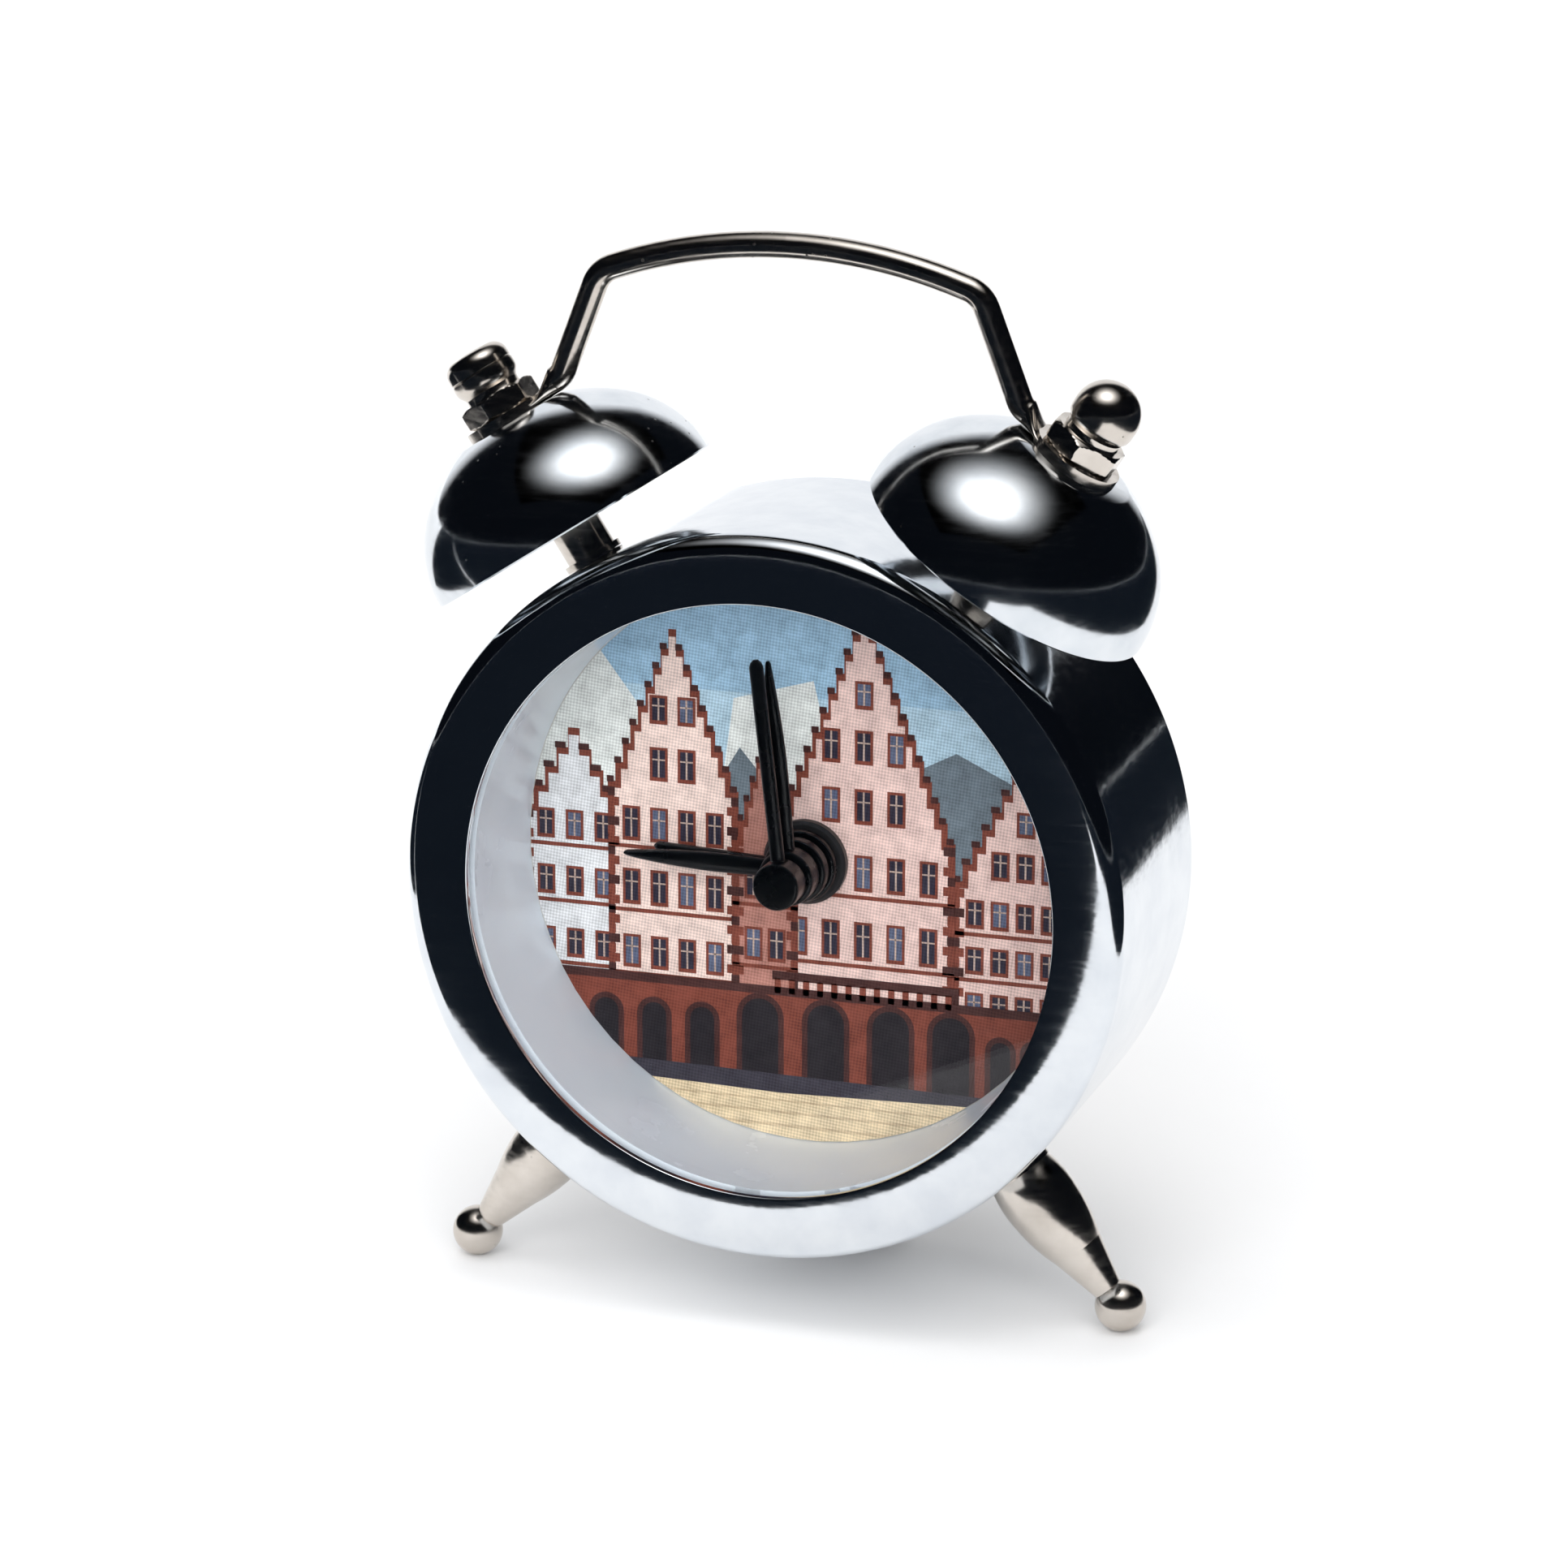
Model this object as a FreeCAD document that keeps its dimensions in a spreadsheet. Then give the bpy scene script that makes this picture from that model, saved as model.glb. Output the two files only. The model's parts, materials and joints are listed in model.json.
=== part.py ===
import FreeCAD, Part
import Sketcher
import math
import os
import re

# Twin-bell alarm clock on two turned legs and a rear foot, with a battery movement inside.
#
# Every length is in millimetres and every angle in degrees. The row frame has its origin on the
# floor under the middle of the clock, with +Z up and the dial facing -Y. Most pieces are drawn in
# the clock frame first: x to the right, depth along +Y from the front plane of the bezel, and up
# from the axis of the round case. Pieces on a bell post or a leg are drawn along their own radius
# of the case, so a height there is a distance from the case axis.

DIMENSIONS = {
    # case, lens, dial
    "case_radius": 28.5, "case_wall": 0.5, "case_depth": 21.6, "case_corner": 1.3,
    "bezel_crown": 16.0, "bezel_drop": 0.12, "bezel_back": 0.62,
    "opening_radius": 23.3, "lens_radius": 27.1, "lens_back": 1.8,
    "ring_front_radius": 23.3, "ring_back_radius": 22.96, "ring_wall": 0.9,
    "ring_front_flange": 27.5, "ring_back_flange": 25.6, "ring_flange_thick": 0.8,
    "dial_front": 12.95, "dial_thick": 0.4, "dial_radius": 26.6,
    "collar_radius": 3.35, "collar_height": 0.9,
    # bells and what holds them
    "bell_angle": 33.05, "post_depth": 8.2, "bell_radius": 12.0, "bell_base": 31.4,
    "bell_crown": 10.2, "bell_side_arc": 9.0, "bell_flat": 9.3, "bell_wall": 0.6,
    "stud_radius": 1.5, "stud_foot": 25.0, "stud_top": 45.2, "thread_gap": 0.05,
    "sleeve_radius": 2.0, "washer_radius": 2.35, "washer_thick": 0.5,
    "nut_flats": 5.5, "nut_chamfer": 0.3, "inner_nut_height": 1.7, "inner_nut_top": 27.8,
    "cap_hex_height": 1.7, "cap_neck_radius": 2.3, "cap_neck_height": 0.5,
    "cap_dome_radius": 2.6, "cap_side_height": 1.5,
    # handle
    "wire_radius": 1.0, "arch_top": 49.05, "arch_radius": 41.4, "arch_bend": 2.4,
    "bow_lean": 21.0, "bow_foot": 5.5, "bow_end": 4.9, "foot_bend": 1.6, "tab_thick": 0.8,
    "tab_radius": 3.5,
    # legs and rear foot
    "leg_angle": 39.36, "leg_depth": 9.7, "leg_reach": 41.89, "foot_radius": 2.0,
    "leg_root_radius": 2.65, "leg_belly_radius": 2.9, "leg_waist_radius": 2.1,
    "leg_neck_radius": 1.15, "leg_stub_foot": 25.2, "leg_washer_radius": 2.75,
    "rear_foot_width": 8.0, "rear_foot_thick": 2.6,
    # back cover
    "skirt_radius": 27.9, "skirt_wall": 1.1, "cover_plate_front": 20.4, "cover_plate_back": 21.4,
    "boss_radius": 24.0, "boss_wall": 1.0, "boss_inside": 23.2, "boss_back": 24.4,
    # movement plates
    "base_radius": 26.6, "base_back": 14.35, "plate_radius": 22.0,
    "middle_front": 17.05, "middle_back": 17.55, "rear_front": 20.9, "rear_back": 21.7,
    "bush_radius": 2.45, "bush_front": 12.0, "pillar_radius": 1.4, "pillar_foot_radius": 2.2,
    "pillar_circle": 19.0, "low_pillar_across": 4.7, "low_pillar_down": 20.0,
    "screw_radius": 0.6, "screw_head_radius": 1.5, "screw_head_height": 1.0, "screw_reach": 3.2,
    # hand arbors: one tube inside the other, with running clearance between them
    "run_gap": 0.05, "second_arbor_radius": 0.4, "cannon_radius": 0.85, "hour_tube_radius": 1.35,
    "alarm_tube_radius": 1.85, "arbor_radius": 0.6, "thin_arbor_radius": 0.5,
    "second_hand_length": 17.6, "minute_hand_length": 17.0, "hour_hand_length": 14.0,
    "alarm_hand_length": 12.0, "stick_width": 1.1, "alarm_stick_width": 0.75,
    "lance_width": 1.5, "lance_neck": 1.35, "lance_tip": 0.5, "blade_thick": 0.45,
    "second_hand_angle": -6.6, "minute_hand_angle": -5.8, "hour_hand_angle": 270.7,
    "alarm_hand_angle": 272.5,
    "second_cap_radius": 1.85, "minute_hub_radius": 2.2, "hour_hub_radius": 2.55,
    "alarm_hub_radius": 2.85,
    # gear centres: a distance, and an angle clockwise from twelve
    "third_distance": 9.0, "third_angle": 0.0, "minute_distance": 9.4, "minute_angle": 288.0,
    "alarm_distance": 10.2, "alarm_angle": 73.0, "step_distance": 6.0, "step_angle": 200.0,
    "rotor_distance": 6.0, "rotor_angle": 210.0, "gear_thick": 0.55, "pinion_extra": 0.06,
    "rotor_pivot_radius": 0.35,
    "magnet_radius": 1.5, "magnet_front": 18.0, "magnet_back": 19.6,
    # knobs, switch, hatch
    "knob_radius": 4.3, "knob_front": 24.7, "knob_back": 27.1, "knob_shaft_radius": 1.6,
    "knob_flutes": 20, "flute_radius": 0.42, "knob_play": 0.08,
    "knob_shaft_front": 22.0, "knob_arbor_end": 25.9, "knob_socket_end": 26.0,
    "switch_up": 15.5, "switch_travel": 3.0, "switch_stem_width": 3.0, "switch_stem_height": 2.2,
    "switch_back": 25.7, "switch_shoe_front": 22.45, "step_post_front": 19.15,
    "hatch_side": 13.2, "hatch_play": 0.1, "hatch_thick": 0.9,
    # electrical pieces
    "battery_across": 11.2, "battery_down": 10.6, "battery_radius": 5.8, "battery_height": 5.4,
    "battery_front": 17.9, "well_radius": 6.05, "well_wall": 0.8, "well_front": 18.9,
    "buzzer_across": 15.0, "buzzer_down": 6.5, "buzzer_radius": 4.5, "buzzer_front": 17.8,
    "board_front": 21.8, "board_thick": 0.6,
    "coil_left": -8.5, "coil_right": 1.5, "coil_down": 17.3, "coil_radius": 2.2,
    "stator_front": 18.2, "stator_thick": 0.6,
}

# Teeth of each wheel and the pinion it meshes with.
TEETH = {
    "second_pinion": 8, "third_wheel": 60, "third_pinion": 8, "centre_wheel": 64,
    "cannon_pinion": 10, "minute_wheel": 30, "minute_pinion": 8, "hour_wheel": 32,
    "alarm_pinion": 12, "alarm_wheel": 48, "second_wheel": 40, "step_pinion": 8,
    "step_wheel": 60, "rotor_pinion": 10,
}

# Depth at which each toothed disc starts. Meshing discs share a layer.
LAYERS = {
    "alarm": 14.55, "hour": 15.4, "minute": 16.25, "centre": 17.75, "third": 18.5,
    "second": 19.2, "step": 19.9,
}

# Depths of each hand: front and back of its hub, back of its blade, front end of its arbor.
HAND_DEPTHS = {
    "second": ("4.9", "7.0", "6.5", "6.6"), "minute": ("7.4", "9.2", "8.5", "8.1"),
    "hour": ("9.5", "10.6", "10.1", "9.7"), "alarm": ("10.95", "11.75", "11.5", "11.1"),
}

FRONT = "(bell_radius - post_depth - knob_back) / 2"
AXIS = "(leg_reach * cos(leg_angle) + foot_radius)"
SIDES = {"left": -1, "right": 1}
ALONG_DEPTH = (1, 0, 0, "-90")

doc = FreeCAD.newDocument("AlarmClock")
sheet = doc.addObject("Spreadsheet::Sheet", "Dims")
for row, (alias, number) in enumerate(DIMENSIONS.items(), start=1):
    sheet.set(f"A{row}", alias)
    sheet.set(f"B{row}", str(number))
    sheet.setAlias(f"B{row}", alias)
doc.recompute()

ALIAS = re.compile(r"\b(" + "|".join(sorted(DIMENSIONS, key=len, reverse=True)) + r")\b")
nodes = {}


# ---------------------------------------------------------------- helpers

def value(text):
    """The number that an expression on the sheet's cells gives now."""
    return float(sheet.evalExpression(text))


def bind(thing, prop, text):
    """Drive a property from the sheet."""
    thing.setExpression(prop, ALIAS.sub(r"Dims.\1", text))


def place(thing, x="0", depth="0", up="0", turn=None):
    """Place a piece in the clock frame; turn is an axis and an angle in degrees."""
    if turn:
        thing.Placement = FreeCAD.Placement(
            FreeCAD.Vector(), FreeCAD.Rotation(FreeCAD.Vector(*turn[:3]), 1))
        bind(thing, ".Placement.Rotation.Angle", turn[3])
    for axis, text in (("x", x), ("y", depth), ("z", up)):
        bind(thing, f".Placement.Base.{axis}", text)
    return thing


def node(thing, name, x="0", depth="0", up="0", turn=None):
    """Name a finished piece and place it in the row frame."""
    thing.Label = name
    nodes[name] = thing
    return place(thing, x, f"{FRONT} + {depth}", f"{AXIS} + {up}", turn)


def radial_turn(side, angle):
    """The turn that points a piece's own z axis out from the case, angle away from straight up."""
    return (0, side, 0, angle)


def polar(distance, angle):
    """x and up of a point at a distance from the axis, angle clockwise from twelve."""
    return f"({distance} * sin({angle}))", f"({distance} * cos({angle}))"


def cylinder(name, radius, start, end):
    """A cylinder along its own z axis."""
    rod = doc.addObject("Part::Cylinder", name)
    bind(rod, "Radius", radius)
    bind(rod, "Height", f"({end}) - ({start})")
    bind(rod, ".Placement.Base.z", start)
    return rod


def rod_along_depth(name, radius, start, end, x="0", up="0"):
    """A cylinder that runs from one depth to another."""
    rod = doc.addObject("Part::Cylinder", name)
    bind(rod, "Radius", radius)
    bind(rod, "Height", f"({end}) - ({start})")
    return place(rod, x, start, up, ALONG_DEPTH)


def drill(name, radius, x="0", up="0"):
    """A round tool along depth that is longer than the clock is deep."""
    return rod_along_depth(name, radius, "0", "40", x, up)


def block(name, x_span, depth_span, up_span):
    """A box between pairs of limits in the clock frame."""
    box = doc.addObject("Part::Box", name)
    for prop, axis, (low, high) in (("Length", "x", x_span), ("Width", "y", depth_span),
                                    ("Height", "z", up_span)):
        bind(box, prop, f"({high}) - ({low})")
        bind(box, f".Placement.Base.{axis}", low)
    return box


def fuse(name, *pieces):
    """One solid from several."""
    fused = doc.addObject("Part::MultiFuse", name)
    fused.Shapes = list(pieces)
    return fused


def cut(name, base, *tools):
    """A solid with others cut out of it."""
    result = doc.addObject("Part::Cut", name)
    result.Base = base
    result.Tool = tools[0] if len(tools) == 1 else fuse(f"{name}_tools", *tools)
    return result


def group(name, *pieces):
    """Separate solids that share a node."""
    compound = doc.addObject("Part::Compound", name)
    compound.Links = list(pieces)
    return compound


def arc_between(start, end, radius):
    """A circle arc between two points; a positive radius bends it anticlockwise."""
    half = (end - start) * 0.5
    lift = math.sqrt(max(radius * radius - half.Length ** 2, 0.0))
    across = FreeCAD.Vector(-half.y, half.x, 0).normalize()
    centre = start + half + across * math.copysign(lift, radius)
    circle = Part.Circle(centre, FreeCAD.Vector(0, 0, 1), abs(radius))
    angles = [math.atan2(point.y - centre.y, point.x - centre.x) for point in (start, end)]
    if radius < 0:
        angles.reverse()
    return Part.ArcOfCircle(circle, *angles)


def draw_outline(sketch, outline):
    """Draw a closed outline of (x, y) corners; a third entry is the radius of the arc that arrives
    at that corner. Every corner is tied to the sheet."""
    points = [FreeCAD.Vector(value(corner[0]), value(corner[1]), 0) for corner in outline]
    for index, corner in enumerate(outline):
        begin, finish = points[index - 1], points[index]
        if len(corner) == 3:
            radius = value(corner[2])
            sketch.addGeometry(arc_between(begin, finish, radius))
            tip = 2 if radius > 0 else 1
            size = Sketcher.Constraint("Radius", index, abs(radius))
            bind(sketch, f"Constraints[{sketch.addConstraint(size)}]", f"abs({corner[2]})")
        else:
            sketch.addGeometry(Part.LineSegment(begin, finish))
            tip = 2
        for kind, place_text, number in (("DistanceX", corner[0], finish.x),
                                         ("DistanceY", corner[1], finish.y)):
            tie = Sketcher.Constraint(kind, -1, 1, index, tip, number)
            bind(sketch, f"Constraints[{sketch.addConstraint(tie)}]", place_text)
    for index, corner in enumerate(outline):
        following = (index + 1) % len(outline)
        tip = 1 if len(corner) == 3 and value(corner[2]) < 0 else 2
        after = outline[following]
        tail = 2 if len(after) == 3 and value(after[2]) < 0 else 1
        sketch.addConstraint(Sketcher.Constraint("Coincident", index, tip, following, tail))


def body_with_sketch(name, outline):
    """A body holding one sketch on its own XZ plane."""
    body = doc.addObject("PartDesign::Body", name)
    sketch = body.newObject("Sketcher::SketchObject", f"{name}_sketch")
    plane = next(item for item in body.Origin.OriginFeatures if item.Role == "XZ_Plane")
    sketch.AttachmentSupport = [(plane, "")]
    sketch.MapMode = "FlatFace"
    draw_outline(sketch, outline)
    return body, sketch


def turned(name, profile):
    """A body of revolution about its own z axis from (radius, height) corners."""
    body, sketch = body_with_sketch(name, profile)
    revolution = body.newObject("PartDesign::Revolution", f"{name}_turn")
    revolution.Profile = sketch
    revolution.ReferenceAxis = (sketch, ["V_Axis"])
    revolution.Angle = 360
    return body


def padded(name, outline, thick):
    """A flat body from (x, up) corners, whose back is at depth 0."""
    body, sketch = body_with_sketch(name, outline)
    pad = body.newObject("PartDesign::Pad", f"{name}_pad")
    pad.Profile = sketch
    bind(pad, "Length", thick)
    return body


def turned_along_depth(name, profile, x="0", up="0"):
    """A body of revolution about an axis that runs along the depth."""
    return place(turned(name, profile), x, "0", up, ALONG_DEPTH)


def tube_profile(inner, outer, start, end):
    """The (radius, height) corners of a plain ring or tube."""
    return [(inner, start), (outer, start), (outer, end), (inner, end)]


def hexagon(name, start, height, bore=None):
    """A hexagon nut body along its own z axis, with chamfered corners."""
    corner = "(nut_flats / 2 / cos(30))"
    prism = doc.addObject("Part::Prism", f"{name}_prism")
    prism.Polygon = 6
    bind(prism, "Circumradius", corner)
    bind(prism, "Height", height)
    bind(prism, ".Placement.Base.z", start)
    inner = bore or "0"
    end = f"{start} + {height}"
    turning = turned(f"{name}_turning", [
        (inner, start), ("nut_flats / 2", start), (corner, f"{start} + nut_chamfer"),
        (corner, f"{end} - nut_chamfer"), ("nut_flats / 2", end), (inner, end)])
    nut = doc.addObject("Part::Common", name)
    nut.Base = prism
    nut.Tool = turning
    return nut


# ---------------------------------------------------------------- case, lens and dial

def make_case():
    """Drawn can with a slightly crowned bezel, a rounded front corner, and holes for the two
    posts and the two legs."""
    shell = turned_along_depth("can", [
        ("opening_radius", "bezel_drop"), ("case_radius - case_corner", "bezel_drop", "bezel_crown"),
        ("case_radius", "bezel_drop + case_corner", "case_corner"), ("case_radius", "case_depth"),
        ("case_radius - case_wall", "case_depth"),
        ("case_radius - case_wall", "bezel_drop + case_corner"),
        ("case_radius - case_corner", "bezel_back", "case_wall - case_corner"),
        ("opening_radius", "bezel_back")])
    holes = []
    for side in SIDES.values():
        for label, depth, angle in (("post", "post_depth", "bell_angle"),
                                    ("leg", "leg_depth", "180 - leg_angle")):
            hole = doc.addObject("Part::Cylinder", f"{label}_hole")
            bind(hole, "Radius", "stud_radius + thread_gap")
            bind(hole, "Height", "case_radius + 1")
            place(hole, "0", depth, "0", radial_turn(side, angle))
            holes.append(hole)
    node(cut("case_shell_cut", shell, *holes), "case_shell")


def make_lens_and_dial():
    """Flat clear lens, white ring between lens and dial, printed dial and its black collar."""
    node(turned("lens_body", [
        ("0", "bezel_back"), ("lens_radius", "bezel_back"), ("lens_radius", "lens_back"),
        ("0", "lens_back")]), "lens", turn=ALONG_DEPTH)
    back_outer = "ring_back_radius + ring_wall"
    node(turned("ring_body", [
        ("ring_front_radius", "lens_back"), ("ring_front_flange", "lens_back"),
        ("ring_front_flange", "lens_back + ring_flange_thick"),
        ("ring_front_radius + ring_wall", "lens_back + ring_flange_thick"),
        (back_outer, "dial_front - ring_flange_thick"),
        ("ring_back_flange", "dial_front - ring_flange_thick"),
        ("ring_back_flange", "dial_front"), ("ring_back_radius", "dial_front")]),
        "dial_ring", turn=ALONG_DEPTH)
    hole = "bush_radius + run_gap"
    node(turned("dial_body", tube_profile(hole, "dial_radius", "dial_front",
                                          "dial_front + dial_thick")), "dial", turn=ALONG_DEPTH)
    front = "dial_front - collar_height"
    node(turned("collar_body", [
        (hole, front), ("collar_radius - 0.25", front), ("collar_radius", f"{front} + 0.25"),
        ("collar_radius", "dial_front"), (hole, "dial_front")]), "dial_collar", turn=ALONG_DEPTH)


# ---------------------------------------------------------------- bells, posts and handle

def bell_profile(offset):
    """Corners of a dome of two tangent arcs, drawn in from the outside by an offset."""
    side_arc = f"(bell_side_arc - {offset})"
    centre = "(bell_radius - bell_side_arc)"
    # The crown arc's radius follows from its height and from being tangent to the side arc.
    crown_arc = ("((bell_crown ^ 2 + (bell_radius - bell_side_arc) ^ 2 - bell_side_arc ^ 2)"
                 " / (2 * (bell_crown - bell_side_arc)))")
    reach = f"({crown_arc} - bell_side_arc)"
    drop = f"({crown_arc} - bell_crown)"
    tangent = (f"{centre} + {side_arc} * {centre} / {reach}",
               f"bell_base + {side_arc} * {drop} / {reach}")
    flat_height = f"(bell_flat - {offset})"
    outer_arc = f"({crown_arc} - {offset})"
    flat_radius = f"sqrt({outer_arc} ^ 2 - ({flat_height} + {drop}) ^ 2)"
    return tangent, side_arc, outer_arc, flat_radius, f"bell_base + {flat_height}"


def make_bells():
    """Two pressed bells, open below, each with a hole for its post."""
    tangent, side_arc, crown_arc, flat, top = bell_profile("0")
    in_tangent, in_side, in_crown, in_flat, ceiling = bell_profile("bell_wall")
    hole = "stud_radius + thread_gap"
    for side_name, side in SIDES.items():
        bell = turned(f"bell_{side_name}_body", [
            (hole, top), (hole, ceiling), (in_flat, ceiling),
            (*in_tangent, f"-({in_crown})"), ("bell_radius - bell_wall", "bell_base",
                                              f"-({in_side})"),
            ("bell_radius", "bell_base"), (*tangent, side_arc), (flat, top, crown_arc)])
        node(bell, f"bell_{side_name}", depth="post_depth",
             turn=radial_turn(side, "bell_angle"))


def make_bell_fasteners():
    """Studs, spacer sleeves, washers, inner nuts and cap nuts of both posts."""
    bore = "stud_radius + thread_gap"
    sleeve_foot = "case_radius + washer_thick"
    tab_top = "(bell_base + bell_flat + tab_thick)"
    hex_end = f"{tab_top} + cap_hex_height"
    neck_end = f"{hex_end} + cap_neck_height"
    dome_start = f"{neck_end} + cap_side_height"
    pairs = {"bell_studs": [], "bell_sleeves": [], "bell_washers": [], "bell_nuts": [],
             "cap_nuts": []}
    for side_name, side in SIDES.items():
        stud = cylinder(f"stud_{side_name}", "stud_radius", "stud_foot", "stud_top")
        sleeve = turned(f"sleeve_{side_name}", tube_profile(
            bore, "sleeve_radius", sleeve_foot, "bell_base + bell_flat - bell_wall"))
        washer = turned(f"washer_{side_name}", tube_profile(
            bore, "washer_radius", "case_radius", sleeve_foot))
        nut = hexagon(f"bell_nut_{side_name}", "(inner_nut_top - inner_nut_height)",
                      "inner_nut_height", bore)
        dome = turned(f"dome_{side_name}", [
            ("0", f"{hex_end} - 0.2"), ("cap_neck_radius", f"{hex_end} - 0.2"),
            ("cap_neck_radius", neck_end), ("cap_dome_radius", f"{neck_end} + 0.25"),
            ("cap_dome_radius", dome_start),
            ("0", f"{dome_start} + cap_dome_radius", "cap_dome_radius")])
        thread = cylinder(f"cap_thread_{side_name}", bore, tab_top, "stud_top + 0.3")
        cap = cut(f"cap_nut_{side_name}", fuse(f"cap_{side_name}", hexagon(
            f"cap_hex_{side_name}", tab_top, "cap_hex_height"), dome), thread)
        for name, piece in zip(pairs, (stud, sleeve, washer, nut, cap)):
            holder = group(f"{name}_{side_name}", piece)
            place(holder, turn=radial_turn(side, "bell_angle"))
            pairs[name].append(holder)
    for name, pieces in pairs.items():
        node(group(f"{name}_pair", *pieces), name, depth="post_depth")


def round_corner(before, corner, after, radius):
    """The two tangent points of a bend at a corner, and the point halfway round it."""
    into, out = (corner - before).normalize(), (after - corner).normalize()
    turn = into.getAngle(out)
    setback = radius * math.tan(turn / 2)
    bisector = (out - into).normalize()
    middle = corner + bisector * (radius / math.cos(turn / 2) - radius)
    return corner - into * setback, middle, corner + out * setback


def handle_centreline():
    """Half of the bow's centreline: arch, knuckle bend, leg, foot bend and the run into the tab.
    Also gives the centre of the tab and the direction from the bow to it."""
    slope, lean = math.radians(value("bell_angle")), math.radians(value("bow_lean"))
    along = FreeCAD.Vector(math.cos(slope), 0, -math.sin(slope))
    outward = FreeCAD.Vector(math.sin(slope), 0, math.cos(slope))
    wire_line = outward * value("bell_base + bell_flat + wire_radius + 0.05")
    foot_corner = wire_line - along * value("bow_foot")
    climb = FreeCAD.Vector(-math.sin(lean), 0, math.cos(lean))
    inward = FreeCAD.Vector(-math.cos(lean), 0, -math.sin(lean))

    # The knuckle bend touches the leg and the arch: its centre lies a bend radius inside the leg
    # and short of the arch's radius from the arch's centre.
    arch, bend = value("arch_radius"), value("arch_bend")
    arch_centre = FreeCAD.Vector(0, 0, value("arch_top") - arch)
    offset = foot_corner + inward * bend - arch_centre
    along_leg = offset.dot(climb)
    height = -along_leg + math.sqrt(along_leg ** 2 + (arch - bend) ** 2 - offset.Length ** 2)
    knuckle_centre = foot_corner + inward * bend + climb * height
    spoke = (knuckle_centre - arch_centre).normalize()
    on_arch = arch_centre + spoke * arch
    on_leg = knuckle_centre - inward * bend
    knuckle_middle = knuckle_centre + (spoke - inward).normalize() * bend
    half_spoke = (spoke + FreeCAD.Vector(0, 0, 1)).normalize()
    crest = arch_centre + FreeCAD.Vector(0, 0, arch)

    wire_end = wire_line - along * value("bow_end")
    into, middle, out = round_corner(on_leg, foot_corner, wire_end, value("foot_bend"))
    edges = [Part.Arc(crest, arch_centre + half_spoke * arch, on_arch),
             Part.Arc(on_arch, knuckle_middle, on_leg), Part.LineSegment(on_leg, into),
             Part.Arc(into, middle, out), Part.LineSegment(out, wire_end)]
    tab_centre = outward * value("bell_base + bell_flat + tab_thick / 2")
    return Part.Wire([edge.toShape() for edge in edges]), tab_centre, along


def make_handle():
    """Round wire bow whose flattened ends are clamped on the bells. The bow is symmetric, so half
    of it is bent and then mirrored."""
    path = doc.addObject("Part::Feature", "handle_path")
    path.Shape, tab_centre, along = handle_centreline()
    crest, wire_end = path.Shape.OrderedVertexes[0].Point, path.Shape.OrderedVertexes[-1].Point
    neck = tab_centre - along * value("tab_radius - 0.2")
    inner_neck = tab_centre - along * value("tab_radius - 1")
    section = doc.addObject("Part::Circle", "wire_section")
    bind(section, "Radius", "wire_radius")
    section.Placement = FreeCAD.Placement(
        crest, FreeCAD.Rotation(FreeCAD.Vector(0, 0, 1), FreeCAD.Vector(1, 0, 0)))
    sweep = doc.addObject("Part::Sweep", "handle_half")
    sweep.Sections = [section]
    sweep.Spine = (path, [f"Edge{number + 1}" for number in range(len(path.Shape.Edges))])
    sweep.Solid = True
    sweep.Frenet = False
    # The wire flattens into the tab through a loft from the round to a wide thin section.
    tab_turn = FreeCAD.Rotation(FreeCAD.Vector(0, 0, 1), along)
    flatten = []
    for index, (major, minor, point) in enumerate((
            ("wire_radius", None, wire_end),
            ("wire_radius * 1.3", "wire_radius * 0.68", (wire_end + neck) * 0.5),
            ("wire_radius * 1.75", "tab_thick * 0.49", neck),
            ("tab_radius * 0.66", "tab_thick * 0.49", inner_neck))):
        ring = doc.addObject("Part::Ellipse" if minor else "Part::Circle", f"tab_section_{index}")
        bind(ring, "MajorRadius" if minor else "Radius", major)
        if minor:
            bind(ring, "MinorRadius", minor)
        quarter = FreeCAD.Rotation(FreeCAD.Vector(0, 0, 1), 90)
        ring.Placement = FreeCAD.Placement(point, tab_turn.multiply(quarter))
        flatten.append(ring)
    loft = doc.addObject("Part::Loft", "tab_loft")
    loft.Sections = flatten
    loft.Solid = True
    tab = turned("tab_disc", tube_profile("stud_radius + thread_gap", "tab_radius",
                                          "bell_base + bell_flat",
                                          "bell_base + bell_flat + tab_thick"))
    place(tab, turn=radial_turn(1, "bell_angle"))
    bore = cylinder("tab_bore", "stud_radius + thread_gap", "bell_base + bell_flat - 1",
                    "bell_base + bell_flat + tab_thick + 1")
    place(bore, turn=radial_turn(1, "bell_angle"))
    half = cut("handle_right_half", fuse("handle_right_fuse", sweep, loft, tab), bore)
    mirrored = doc.addObject("Part::Mirroring", "handle_left_half")
    mirrored.Source = half
    mirrored.Normal = (1, 0, 0)
    node(fuse("handle_fuse", half, mirrored), "handle", depth="post_depth")


# ---------------------------------------------------------------- legs

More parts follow.
